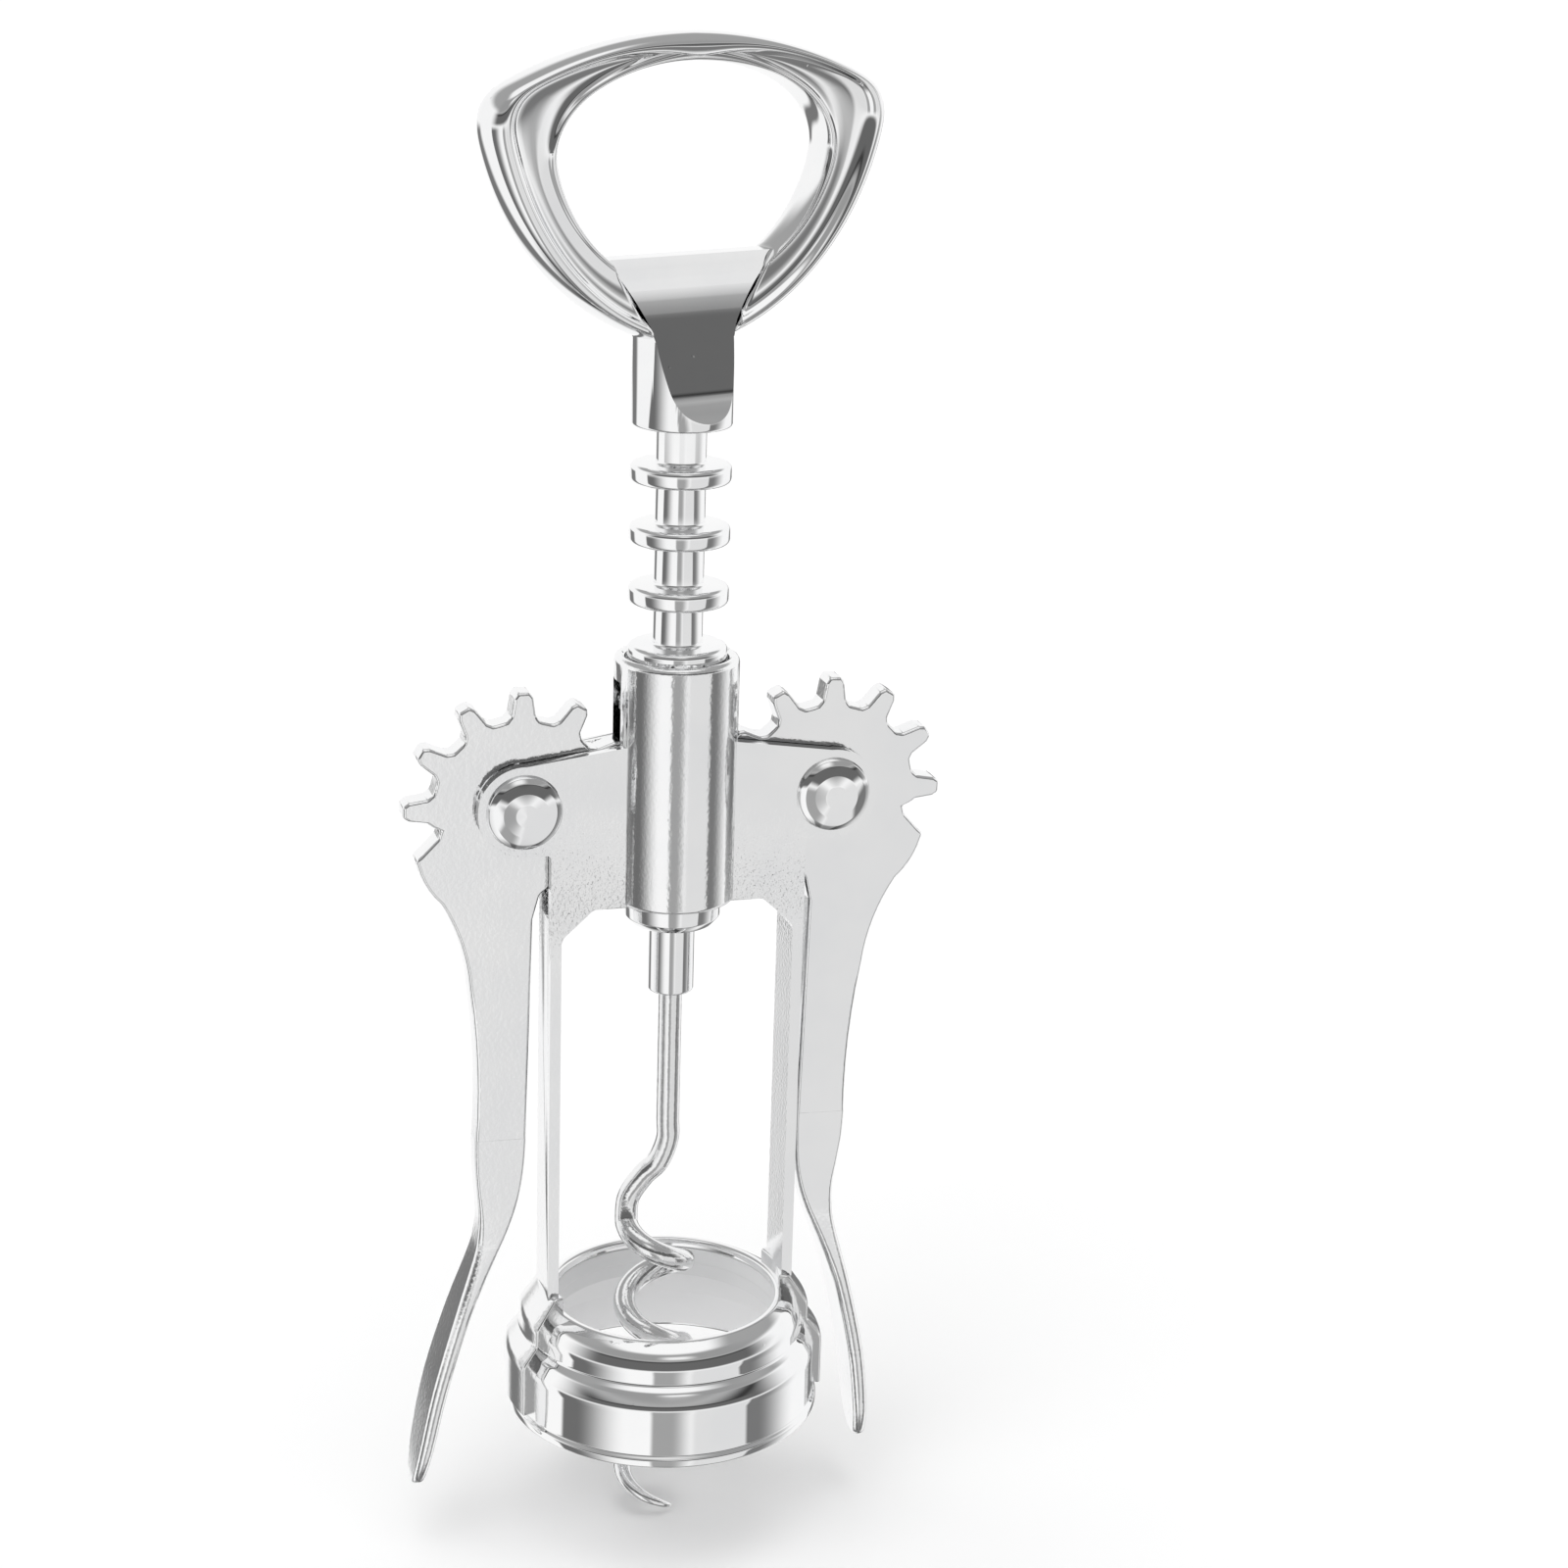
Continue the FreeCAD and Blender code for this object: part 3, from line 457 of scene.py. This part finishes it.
# %% [markdown]
# ## The frame
# The frame is one casting: a tube for the rack, a pair of cheek plates each side that hold the
# levers, and two flat legs that stand on the bell. It is made as a founder would think of it, a
# thick plate plus a tube, with the gear slot, the gears' swept space and the bore taken out.

# %% The frame's outline
LOBE = 5.0  # radius of a cheek plate's round end
LEG_END = 13.2  # height where a leg runs into its foot
GEAR_ROOM = 12.95  # radius of the space that a gear sweeps


def frame_outline():
    """Cheek plates, lobes and legs seen from the front, right half then left half."""
    bridge_top, halfway, armpit = 79.0, 50, 57.0
    right = [Vector((0, bridge_top))]
    right += arc((PIVOT.x, PIVOT.z), LOBE, 93, -90, 28)
    right += softened([(PIVOT.x, PIVOT.z - LOBE), (LEG_OUT, PIVOT.z - LOBE, 0.5), (LEG_OUT, halfway)],
                      0.5, 4, closed=False)[1:-1]
    right += [Vector((LEG_OUT, LEG_END)), Vector((LEG_IN, LEG_END))]
    right += softened([(LEG_IN, halfway), (LEG_IN, armpit, 1.5), (9.4, TUBE_LOW, 0.8), (0, TUBE_LOW)],
                      1.0, 5, closed=False)[1:-1]
    return right + [Vector((-p.x, p.y)) for p in right[:0:-1]]


def make_frame():
    data = bmesh.new()
    slab(data, frame_outline(), -CHEEK_OUT, CHEEK_OUT)
    casting = new_piece("frame_casting", data)
    data = bmesh.new()
    tube = softened([(AXIS, TUBE_LOW), (TUBE_RADIUS, TUBE_LOW, 0.5), (TUBE_RADIUS, TUBE_HIGH, 0.7),
                     (AXIS, TUBE_HIGH)], 0.5, 4, closed=False)
    turned(data, tube, 128, closed=False)
    combined(casting, new_piece("tube_blank", data), "UNION")
    data = bmesh.new()
    slot_out, slot_high = 23, TUBE_HIGH - 2.5
    slab(data, [(-slot_out, PIVOT.z), (slot_out, PIVOT.z), (slot_out, slot_high),
                (-slot_out, slot_high)], -CHEEK_IN, CHEEK_IN)
    combined(casting, new_piece("slot_tool", data), "DIFFERENCE")
    for side in (-1, 1):
        data = bmesh.new()
        slab(data, arc((side * PIVOT.x, PIVOT.z), GEAR_ROOM, 0, 357.5, 143), -CHEEK_IN, CHEEK_IN)
        combined(casting, new_piece("gear_space", data), "DIFFERENCE")
    data = bmesh.new()
    bore = [(AXIS, TUBE_LOW - 1), (BORE, TUBE_LOW - 1), (BORE, TUBE_HIGH - 0.3),
            (BORE + 0.6, TUBE_HIGH + 0.3), (AXIS, TUBE_HIGH + 0.3)]
    turned(data, bore, 128, closed=False)
    combined(casting, new_piece("bore_tool", data), "DIFFERENCE")
    eased(casting, 0.32, 3, 35)
    return casting


casting = make_frame()
print("frame casting has", len(casting.data.polygons), "faces")

# %% [markdown]
# ## The bell and the legs' feet
# The bell is a stepped ring of sheet metal, spun on a lathe, so its corners are all round. Each leg
# ends in a foot: a strip of the same stepped shape that wraps over the bell for part of its turn.

# %% The bell, its lining and the feet
# In these profiles each row is (radius, height, the corner's own rounding).
def make_bell():
    outside = [(BELL_RADIUS + 0.4, 0, 0.25), (BELL_RADIUS + 0.4, 0.9, 0.4), (BELL_RADIUS, 1.25, 0.3),
               (BELL_RADIUS, 6.7, 2.2), (16.2, 8.3, 1.6), (15.45, 8.9, 0.5), (15.45, 10.5, 2.4),
               (14.8, 12.2, 2.4), (13.3, BELL_HEIGHT, 0.7)]
    inside = [(12.5, BELL_HEIGHT, 0.35), (12.5, 12.1, 0.1), (12.9, 12.1, 0.1), (14.4, 10.5, 0.3),
              (14.4, 8.1, 0.3), (16.1, 6.2, 0.3), (16.1, 0, 0.3)]
    data = bmesh.new()
    turned(data, softened(outside + inside, 0.3, 6), 192)
    return new_piece("bell_shell", data, 50)


def make_liner():
    profile = [(12.55, 12.05, 0.2), (12.9, 12.0, 0.1), (14.3, 10.5, 0.1), (14.3, 8.0, 0.1),
               (16.05, 6.1, 0.1), (16.05, 0.8, 0.2), (15.1, 0.8, 0.2), (15.1, 5.0, 0.5),
               (13.5, 8.4, 0.3), (12.62, LINER_SEAT, 0.15), (12.62, 10.1, 0.05), (12.55, 10.25, 0.05)]
    data = bmesh.new()
    turned(data, softened(profile, 0.2, 4), 160)
    return new_piece("bell_lining", data, 50)


def make_feet():
    foot_low, foot_high, half_turn = 1.6, 14.9, 16.5
    outer = [(BELL_RADIUS + 0.9, foot_low), (BELL_RADIUS + 0.9, 7.6, 2.0), (16.35, 9.6, 0.8),
             (16.35, 11.6, 1.8), (LEG_OUT, foot_high, 0.8)]
    inner = [(LEG_IN, foot_high), (LEG_IN, 13.0, 0.3), (15.2, 10.9, 0.8), (15.3, 9.0, 0.6),
             (16.9, 6.8, 0.8), (16.9, foot_low)]
    feet = []
    for middle in (0, 180):
        data = bmesh.new()
        turned(data, softened(outer + inner, 0.2, 5), 24, first=middle - half_turn,
               last=middle + half_turn)
        feet.append(eased(new_piece("foot", data), 0.22, 2, 40))
    return feet


metal_frame = joined("frame_metal", [casting] + make_feet())
settle(metal_frame, "frame", "frame", frame_chrome)
settle(make_bell(), "frame", "bell", bell_chrome)
settle(make_liner(), "frame", "bell_liner", liner_plastic)

# %% [markdown]
# ## The levers
# Each lever is a gear, an arm and a palm rest in one casting. The gear and the arm are a flat plate
# with softened edges. Below the waist the plate turns into a broad thin palm rest, so from there a
# rounded section is carried down the arm, and its width and depth trade places on the way.

# %% Gear, arm and palm rest
GEAR_ROOT = 9.6
GEAR_TIP = 12.62
TEETH = 7
TOOTH_STEP = 30.0
PLATE_HALF = 1.5  # half the thickness of the gear and the arm
PLATE_END = 38.3  # below the pivot, where the palm rest takes over
WAIST_MIDDLE, WAIST_HALF = 1.48, 2.8  # the arm's middle and half width there
REST_TURN = {-1: 1.0, 1: 1.7}  # degrees from straight, for the left (-1) and the right lever (1)
PALM_SET = {-1: 0.0, 1: 2.0}  # degrees that a palm rest is bent in
PALM_TOP = 41.0  # below the pivot, where that bend starts
# Each row: below the pivot, its middle outside the pivot, across the arm, half its depth.
ARM = [(38.0, 1.48, 5.6, 1.5), (41.0, 1.50, 5.40, 1.5), (44.2, 1.55, 4.75, 1.52), (47.0, 1.75, 3.90, 1.6),
       (49.6, 2.3, 3.1, 1.9), (52.0, 3.10, 2.50, 2.3), (58.7, 5.60, 1.80, 3.2), (67.2, 8.00, 1.70, 3.6),
       (74.5, 9.40, 1.60, 3.3), (78.2, 10.0, 1.4, 2.2), (79.3, 10.15, 1.1, 1.2)]


def tooth(angle):
    """One tooth's outline, going anticlockwise round the gear."""
    flank = [(GEAR_ROOT - 0.1, 1.75, 0.5), (GEAR_ROOT + 0.45, 1.32, 0.5), (12.0, 1.02, 0.4),
             (GEAR_TIP, 0.62, 0.4)]
    profile = softened([(x, -y, size) for x, y, size in flank] + flank[::-1], 0.45, 4, closed=False)
    turn = Matrix.Rotation(math.radians(angle), 2)
    return [turn @ Vector(point) for point in profile]


def gear_outline():
    """Teeth and gaps about the pivot, over the top from 0 to 180 degrees."""
    points = []
    for number in range(TEETH):
        angle = number * TOOTH_STEP
        points += tooth(angle)
        if number < TEETH - 1:
            points += arc((0, 0), GEAR_ROOT, angle + 13, angle + 17, 2)
    return points


def spline(rows, steps):
    """A smooth walk through rows of numbers (Catmull-Rom)."""
    out = []
    for index in range(len(rows) - 1):
        before = rows[max(index - 1, 0)]
        start, end = rows[index], rows[index + 1]
        after = rows[min(index + 2, len(rows) - 1)]
        for step in range(steps):
            t = step / steps
            out.append(tuple(
                0.5 * (2 * b + (c - a) * t + (2 * a - 5 * b + 4 * c - d) * t ** 2
                       + (3 * b - a - 3 * c + d) * t ** 3)
                for a, b, c, d in zip(before, start, end, after)))
    out.append(tuple(rows[-1]))
    return out


def rounded_section(across, half, corner, steps=5):
    """A rectangle with round corners, centred, as (x, y)."""
    corner = min(corner, across * 0.49, half * 0.98)
    side = across / 2
    return softened([(side, -half, corner), (side, half, corner), (-side, half, corner),
                     (-side, -half, corner)], corner, steps)


def lever_outline():
    """A lever's plate about its pivot: gear, heel, flare, long outer edge, waist, inner edge."""
    # The teeth face the rack, so the gear's outline is mirrored in x.
    gear = [Vector((-p.x, p.y)) for p in gear_outline()]
    heel = softened([(8.6, -2.2), (8.9, -3.1), (10.6, -4.9), (11.2, -5.4)], 0.4, 3, closed=False)
    shoulder, bulge, brow = (11.0, -6.0), (8.4, -10.4), (5.2, -20)
    outer = bowed(shoulder, bulge, 9.0, 5)[1:] + bowed(bulge, brow, -22.0, 8)[1:]
    outer += bowed(brow, (WAIST_MIDDLE + WAIST_HALF, -PLATE_END), -90.0, 6)[1:]
    inner = [(WAIST_MIDDLE - WAIST_HALF, -PLATE_END), (-1.5, -12.6), (-2.2, -9.8),
             (-GEAR_ROOT * 0.7, -GEAR_ROOT * 0.7)]
    inner += [tuple(p) for p in arc((0, 0), GEAR_ROOT, 215, 194, 4)]
    return gear + heel + outer + softened(inner, 0.9, 4, closed=False)


def palm_rings(side):
    """Sections down the palm rest, a hair larger than the plate, so that no faces coincide."""
    bend, hair = math.tan(math.radians(PALM_SET[side])), 1.004
    rings = []
    for drop, middle, across, half in spline(ARM, 4):
        inset = (drop - PALM_TOP) * bend if drop > PALM_TOP else 0.0
        corner = 0.36 + min(max((drop - 44.0) / 10.0, 0), 1) * 0.5
        rings.append([(side * (middle - inset + x * hair), y * hair, -drop)
                      for x, y in rounded_section(across, half, corner)])
    return rings


def make_lever(side):
    name = "left" if side < 0 else "right"
    data = bmesh.new()
    slab(data, [(side * p.x, p.y) for p in lever_outline()], -PLATE_HALF, PLATE_HALF)
    plate = eased(new_piece(name + "_plate", data), 0.34, 3, 35)
    data = bmesh.new()
    skin(data, palm_rings(side))
    palm = new_piece(name + "_palm", data, 60)
    lever = joined(name + "_lever_metal", [plate, palm])
    turn = Matrix.Rotation(math.radians(REST_TURN[side]), 4, "Y")
    lever.data.transform(Matrix.Translation(Vector((side * PIVOT.x, 0, PIVOT.z)) * MM) @ turn)
    return settle(lever, name + "_lever", name + "_lever", lever_chrome)


for side in (-1, 1):
    make_lever(side)

# %% [markdown]
# ## The pivots
# A rivet holds each lever. Its heads are low domes with a thin rim, and they catch the light as
# two soft crescents. Both heads and the pin between them are one turned part, laid on its side.

# %% The two rivets
def make_pivot(side):
    name = "left" if side < 0 else "right"
    head = [(AXIS, 4.40), (1.2, 4.34, 1), (2.4, 4.14, 1), (3.4, 3.82, 1), (3.95, 3.52, 0.3),
            (4.1, 3.15, 0.2), (4.1, CHEEK_OUT, 0.1), (2.0, CHEEK_OUT, 0.05)]
    half = softened(head, 0.2, 3, closed=False)
    data = bmesh.new()
    turned(data, half + [Vector((p.x, -p.y)) for p in half[::-1]], 64, closed=False)
    pivot = new_piece(name + "_pivot_metal", data, 60)
    pivot.data.transform(Matrix.Translation(Vector((side * PIVOT.x, 0, PIVOT.z)) * MM)
                         @ Matrix.Rotation(math.radians(90), 4, "X"))
    return settle(pivot, "frame", name + "_pivot", turned_chrome)


for side in (-1, 1):
    make_pivot(side)

# %% [markdown]
# ## The rack and its guide collar
# Rings on the shaft are a round rack: they let the handle turn while the gears still drive it.
# Being lathe work, all of it is one spun profile, with a soft round rim on every ring.

# %% The rack
def make_rack():
    low, high = node_box("rack")
    rings, ring_half, shaft, bare_end = 8, 1.0, 2.65, 2.5
    last_ring = PIVOT.z - 0.3 - 1.5 * RING_PITCH
    step, top = last_ring - 4.4, high.z - 0.2
    profile = [(AXIS, low.z), (bare_end, low.z, 0.35), (bare_end, step, 0.05), (shaft, step, 0.05)]
    for number in range(rings):
        middle = last_ring + number * RING_PITCH
        profile += [(shaft, middle - ring_half, 0.35), (RING_RADIUS, middle - ring_half, 0.55),
                    (RING_RADIUS, middle + ring_half, 0.55), (shaft, middle + ring_half, 0.35)]
    profile += [(shaft, top), (AXIS, top)]
    data = bmesh.new()
    turned(data, softened(profile, 0.3, 5, closed=False), 96, closed=False)
    settle(new_piece("rack_metal", data, 45), "spindle", "rack", turned_chrome)


def make_collar():
    low, high = node_box("guide_collar")
    inside, outside = 2.71, 5.2
    profile = [(inside, low.z, 0.1), (4.4, low.z, 0.3), (outside, low.z + 0.9, 0.3),
               (outside, high.z, 0.15), (inside, high.z, 0.1)]
    data = bmesh.new()
    turned(data, softened(profile, 0.2, 4), 96)
    settle(new_piece("collar_metal", data, 45), "slider", "guide_collar", turned_chrome)


make_rack()
make_collar()

# %% [markdown]
# ## The worm
# The worm is one piece of wire: straight out of the rack, bent aside and wound into a left-hand
# helix, then ground to a point. A ring of points is carried along that line, kept square to it.

# %% The worm's wire
# Places on the wire's middle line, from inside the rack down to where the coil starts.
RUN_OUT = [(0, 0, 55.8), (0, 0, 45.0), (0, 0, 38.0), (0, 0, 34.0), (0, 0, 31.5), (-1.0, 0.2, 28.7),
           (-2.5, 0.6, 27.0), (-4.1, 0.9, 24.4), (-4.5, 0.3, 21.9)]


def worm_line():
    """The middle of the wire, and its radius at each place."""
    radius, pitch, shift = 3.3, 10.4, Vector((-1.2, 0, 0))
    start, high, tip = math.radians(190), 21.15, -13.2
    slope = pitch / (2 * math.pi)
    end = start + (high - tip) / slope

    def on_helix(angle):
        return shift + Vector((radius * math.cos(angle), radius * math.sin(angle),
                               high - slope * (angle - start)))

    lead = [tuple(on_helix(start + math.radians(turn))) for turn in (0, 15, 30)]
    line = [Vector(point) for point in spline(RUN_OUT + lead, 8)[:8 * len(RUN_OUT)]]
    steps = 200
    taper = math.radians(200)
    thick, sharp = 1.28, 0.25
    radii = [thick] * len(line)
    for step in range(steps + 1):
        angle = start + (end - start) * step / steps
        line.append(on_helix(angle))
        left = min((end - angle) / taper, 1.0)
        radii.append(sharp + (thick - sharp) * left ** 0.8)
    return line, radii


def make_worm():
    line, radii = worm_line()
    around = 28
    rings = []
    sideways = Vector((1, 0, 0))
    for index, (place, radius) in enumerate(zip(line, radii)):
        way = (line[min(index + 1, len(line) - 1)] - line[max(index - 1, 0)]).normalized()
        sideways = (sideways - way * sideways.dot(way)).normalized()
        other = way.cross(sideways)
        ring = []
        for step in range(around):
            angle = 2 * math.pi * step / around
            ring.append(place + (sideways * math.cos(angle) + other * math.sin(angle)) * radius)
        rings.append(ring)
    data = bmesh.new()
    skin(data, rings)
    settle(new_piece("worm_metal", data, 60), "spindle", "worm", wire_chrome)


make_worm()

# %% [markdown]
# ## The handle
# The handle's loop is not a plain bar. Going from the outside in, it has a round bead, a shallow
# trough and a thin inner rim. So the loop is a section carried round it, stretched between its
# outer and its inner outline, and below it a wedge-shaped web runs down into the round socket.

# %% The loop
HANDLE_TURN = 20  # degrees from facing straight ahead
LIP_HEIGHT = 129.7


def outer_half():
    """The handle's right outer edge, from its crown down to the socket."""
    shoulder, corner, crown = Vector((20.2, 143.3)), 4.0, 151.9
    start, end = math.radians(25), math.radians(13)
    crown_end = shoulder + corner * Vector((math.sin(start), math.cos(start)))
    side_start = shoulder + corner * Vector((math.cos(end), -math.sin(end)))
    fall = crown - crown_end.y
    line = bowed((0, crown), crown_end, (crown_end.x ** 2 + fall ** 2) / (2 * fall), 16)
    line += arc(shoulder, corner, 65, -13, 12)[1:-1]
    line += bowed(side_start, (4.3, 121.0), 29.0, 24)
    return line


def inner_half():
    """The cap opening's right edge, from its crown down to the lip."""
    wide, middle, top = 16.6, 140.2, 149.0
    line = [Vector((wide * math.sin(t), middle + (top - middle) * math.cos(t)))
            for t in (math.radians(5 * step) for step in range(19))]
    return line + bowed((wide, middle), (10.2, LIP_HEIGHT), 16.0, 16)[1:]


def evenly(line, count):
    """The same line in equal steps."""
    lengths = [0.0]
    for start, end in zip(line, line[1:]):
        lengths.append(lengths[-1] + (end - start).length)
    out = []
    for step in range(count + 1):
        want = lengths[-1] * step / count
        index = min(bisect.bisect_right(lengths, want), len(line) - 1)
        span = lengths[index] - lengths[index - 1]
        share = (want - lengths[index - 1]) / span if span else 0.0
        out.append(line[index - 1].lerp(line[index], min(share, 1.0)))
    return out


def smoothed(line, rounds):
    """Ease small kinks out of a line, keeping its ends."""
    for _ in range(rounds):
        line = [line[0]] + [(a + b * 2 + c) / 4 for a, b, c in zip(line, line[1:], line[2:])] + [line[-1]]
    return line


def loop_section(width):
    """Half of the loop's section: (distance in from the outer edge, half depth)."""
    return [
        (0.0, 0.0), (0.05, 0.9), (0.25, 1.65), (0.62, 2.25), (1.1, 2.56), (1.6, 2.6), (2.0, 2.42),
        (2.3, 2.12), (2.6, 1.86), (min(3.1, width * 0.55), 1.66), (width * 0.62, 1.60), (width - 1.65, 1.70),
        (width - 1.35, 1.92), (width - 1.0, 2.12), (width - 0.62, 2.12), (width - 0.28, 1.86),
        (width - 0.06, 1.3), (width, 0.6), (width, 0.0),
    ]


def make_loop():
    count = 72
    outer = smoothed(evenly(outer_half(), count), 4)
    inner = smoothed(evenly(inner_half(), count), 4)
    outer[0].x = inner[0].x = 0
    stations = [(Vector((-o.x, o.y)), Vector((-i.x, i.y))) for o, i in zip(outer, inner)][::-1]
    stations += list(zip(outer, inner))[1:]
    rings = []
    for start, end in stations:
        way = (end - start).normalized()
        width = (end - start).length
        front = loop_section(width)
        ring = [(start + way * u, -y) for u, y in front]
        ring += [(start + way * u, y) for u, y in front[-2:0:-1]]
        rings.append([(p.x, y, p.y) for p, y in ring])
    data = bmesh.new()
    skin(data, rings)
    loop = new_piece("handle_loop", data, 180)
    tidy_up(loop, ("SUBSURF", {"levels": 1, "render_levels": 1}))
    for polygon in loop.data.polygons:
        polygon.use_smooth = True
    return loop


loop = make_loop()
print("loop has", len(loop.data.polygons), "faces")

# %% [markdown]
# ## The web, the lip and the socket
# Under the opening a straight lip hooks a bottle cap. From the lip a shallow scoop runs down into
# the round socket, where it ends in a tongue. Cutting one curved scoop from both the web and the
# socket gives that tongue its shape by itself, front and back.

# %% Web and socket
def make_socket():
    base, radius = node_box("handle")[0].z, 5.3
    scoop_low, beyond = base + 0.85, 12
    data = bmesh.new()
    profile = softened([(AXIS, base), (radius, base, 0.35), (radius, 123.4, 0.9), (3.6, 125.2, 0.9),
                        (AXIS, 125.5)], 0.5, 5, closed=False)
    turned(data, profile, 128, closed=False)
    socket = new_piece("handle_socket", data)
    data = bmesh.new()
    right = bowed((10.6, LIP_HEIGHT), (5.4, 122.8), -30.0, 6) + [Vector((4.9, 121.2))]
    web = right + [Vector((-p.x, p.y)) for p in right[::-1]]
    slab(data, web, -5.2, 5.2)
    combined(socket, new_piece("handle_web", data), "UNION")
    for side in (-1, 1):
        data = bmesh.new()
        scoop = spline([(radius + 0.05, scoop_low), (4.55, 113.9), (3.85, 115.3), (3.3, 117.0),
                        (2.1, 121.5), (1.5, 125.5), (1.2, LIP_HEIGHT)], 5)
        scoop += [(1.2, 131), (beyond, 131), (beyond, scoop_low)]
        skin(data, [[(x, side * y, z) for y, z in scoop] for x in (-beyond, beyond)])
        combined(socket, new_piece("scoop_tool", data), "DIFFERENCE")
    return eased(socket, 0.2, 3, 28)


handle = joined("handle_metal", [loop, make_socket()])
handle.data.transform(Matrix.Rotation(math.radians(HANDLE_TURN), 4, "Z"))
settle(handle, "spindle", "handle", handle_chrome)

# %% [markdown]
# ## The room
# Chrome has no colour of its own: it shows the room. A product studio is white with a few grey
# panels, which give the bright metal its edges. The panels here are soft windows in the sky's
# shader, by compass angle and height, and the camera itself sees only the pale background.

# %% Studio sky
# Dark panels round the compass, in degrees from the front: where one starts, where it is full,
# where it starts to fade, where it is over, and how dark it is.
PANELS = [
    (-97, -93, -82, -40, 0.84),
    (-24, -20, -8, 12, 0.62),
    (6, 12, 49, 55, 0.22),
    (50, 54, 62, 104, 0.80),
    (133, 143, 157, 167, 0.8),
    (-167, -157, -143, -133, 0.8),
]


def make_sky():
    world = bpy.data.worlds.new("studio")
    world.use_nodes = True
    tree = world.node_tree
    tree.nodes.clear()
    output = tree.nodes.new("ShaderNodeOutputWorld")
    coordinates = tree.nodes.new("ShaderNodeTexCoord")
    way = Wire(tree, coordinates.outputs["Generated"])
    parts = way.node("ShaderNodeSeparateXYZ", {}, {0: way}).socket.node.outputs
    x, y, z = (Wire(tree, parts[name]) for name in ("X", "Y", "Z"))
    compass = way.node("ShaderNodeMath", {"operation": "ARCTAN2"}, {0: x, 1: -y}) * math.degrees(1)
    height = way.node("ShaderNodeMath", {"operation": "ARCSINE"}, {0: z}) * math.degrees(1)
    below = 1.0
    for starts, full, fades, over, depth in PANELS:
        below = below - compass.rise(starts, full) * (1 - compass.rise(fades, over)) * depth
    below = below - (1 - height.rise(-75, -50)) * below * 0.7
    front = compass.rise(-104, -66) * (1 - compass.rise(56, 94))
    dark = height.window(1, 24, 4) * front * 0.86
    grey = height.window(24, 62, 7) * front * 0.66
    spot = compass.window(-14, 12, 9) * height.window(34, 48, 6) * 0.6
    back = height.window(32, 66, 6) * (1 - front) * 0.62
    above = 1.0 - dark - grey - back + spot * front
    horizon = height.rise(-9, 0)
    light = below * (1 - horizon) + above * horizon
    seen = Wire(tree, tree.nodes.new("ShaderNodeLightPath").outputs["Is Camera Ray"])
    strength = light * (1 - seen) + seen
    background = way.node("ShaderNodeBackground", {}, {"Color": (1, 1, 1, 1), "Strength": strength})
    tree.links.new(background.socket, output.inputs[0])
    scene.world = world


make_sky()
scene.view_settings.view_transform = "Standard"
print("sky ready")

# %% [markdown]
# ## Floor and lamps
# The floor is a pale sheet just under the lowest point, so that the tool throws a faint shadow. It
# is kept out of mirror reflections: a white floor close by would wash the panels out of the metal.

# %% Floor and lamps
FLOOR_RADIUS = 9.0  # metres, so that its edge is never seen
FLOOR_GAP = 0.6 * MM


def make_floor():
    data = bmesh.new()
    height = cad_low.z - FLOOR_GAP
    angles = [math.radians(degrees) for degrees in range(0, 360, 5)]
    data.faces.new([data.verts.new((FLOOR_RADIUS * math.cos(a), FLOOR_RADIUS * math.sin(a), height))
                    for a in angles])
    floor = new_piece("floor", data)
    material, shader, place = start_material("floor_paint")
    soft = noise(place, 3.0, 2.0)
    feed(shader, "Base Color", place.node("ShaderNodeMix", {"data_type": "RGBA"}, {
        0: soft, 6: (0.93, 0.93, 0.93, 1), 7: (0.95, 0.95, 0.95, 1)}, 2))
    shader.inputs["Roughness"].default_value = 0.9
    shader.inputs["Specular IOR Level"].default_value = 0.1
    floor.data.materials.append(material)
    floor.visible_glossy = False


def soft_lamp(name, way, spread, power):
    """A broad far light that shines along a way and stays out of the metal's reflections."""
    lamp = bpy.data.lights.new(name, "SUN")
    lamp.angle = math.radians(spread)
    lamp.energy = power
    stand = bpy.data.objects.new(name, lamp)
    stand.rotation_euler = Vector(way).to_track_quat("-Z", "Y").to_euler()
    stand.visible_glossy = False
    scene.collection.objects.link(stand)


make_floor()
soft_lamp("overhead", (0.15, 0.2, -1.0), 70, 1.4)
soft_lamp("left_window", (0.8, 0.5, -0.7), 50, 0.5)
print("lamps ready")

# %% [markdown]
# ## The camera
# The view is from a little to the left and above, with a long lens and the faintest tilt.

# %% Camera
def make_camera():
    turn, rise, tilt = math.radians(-16.888), math.radians(17.487), math.radians(1.799)
    aim, distance = Vector((12.31, 0, 72.13)) * MM, 338.9
    back = Vector((math.sin(turn) * math.cos(rise), -math.cos(turn) * math.cos(rise), math.sin(rise)))
    camera = bpy.data.objects.new("camera", bpy.data.cameras.new("camera"))
    camera.data.sensor_width = 36.0
    camera.data.lens = 71.6
    camera.data.clip_start = 0.01
    camera.data.clip_end = 50.0
    camera.location = aim + back * distance * MM
    camera.rotation_mode = "QUATERNION"
    level = (-back).to_track_quat("-Z", "Y").to_matrix()
    camera.rotation_quaternion = (Matrix.Rotation(tilt, 3, back) @ level).to_quaternion()
    scene.collection.objects.link(camera)
    scene.camera = camera
    return camera


print("camera at", [round(c, 3) for c in make_camera().location])
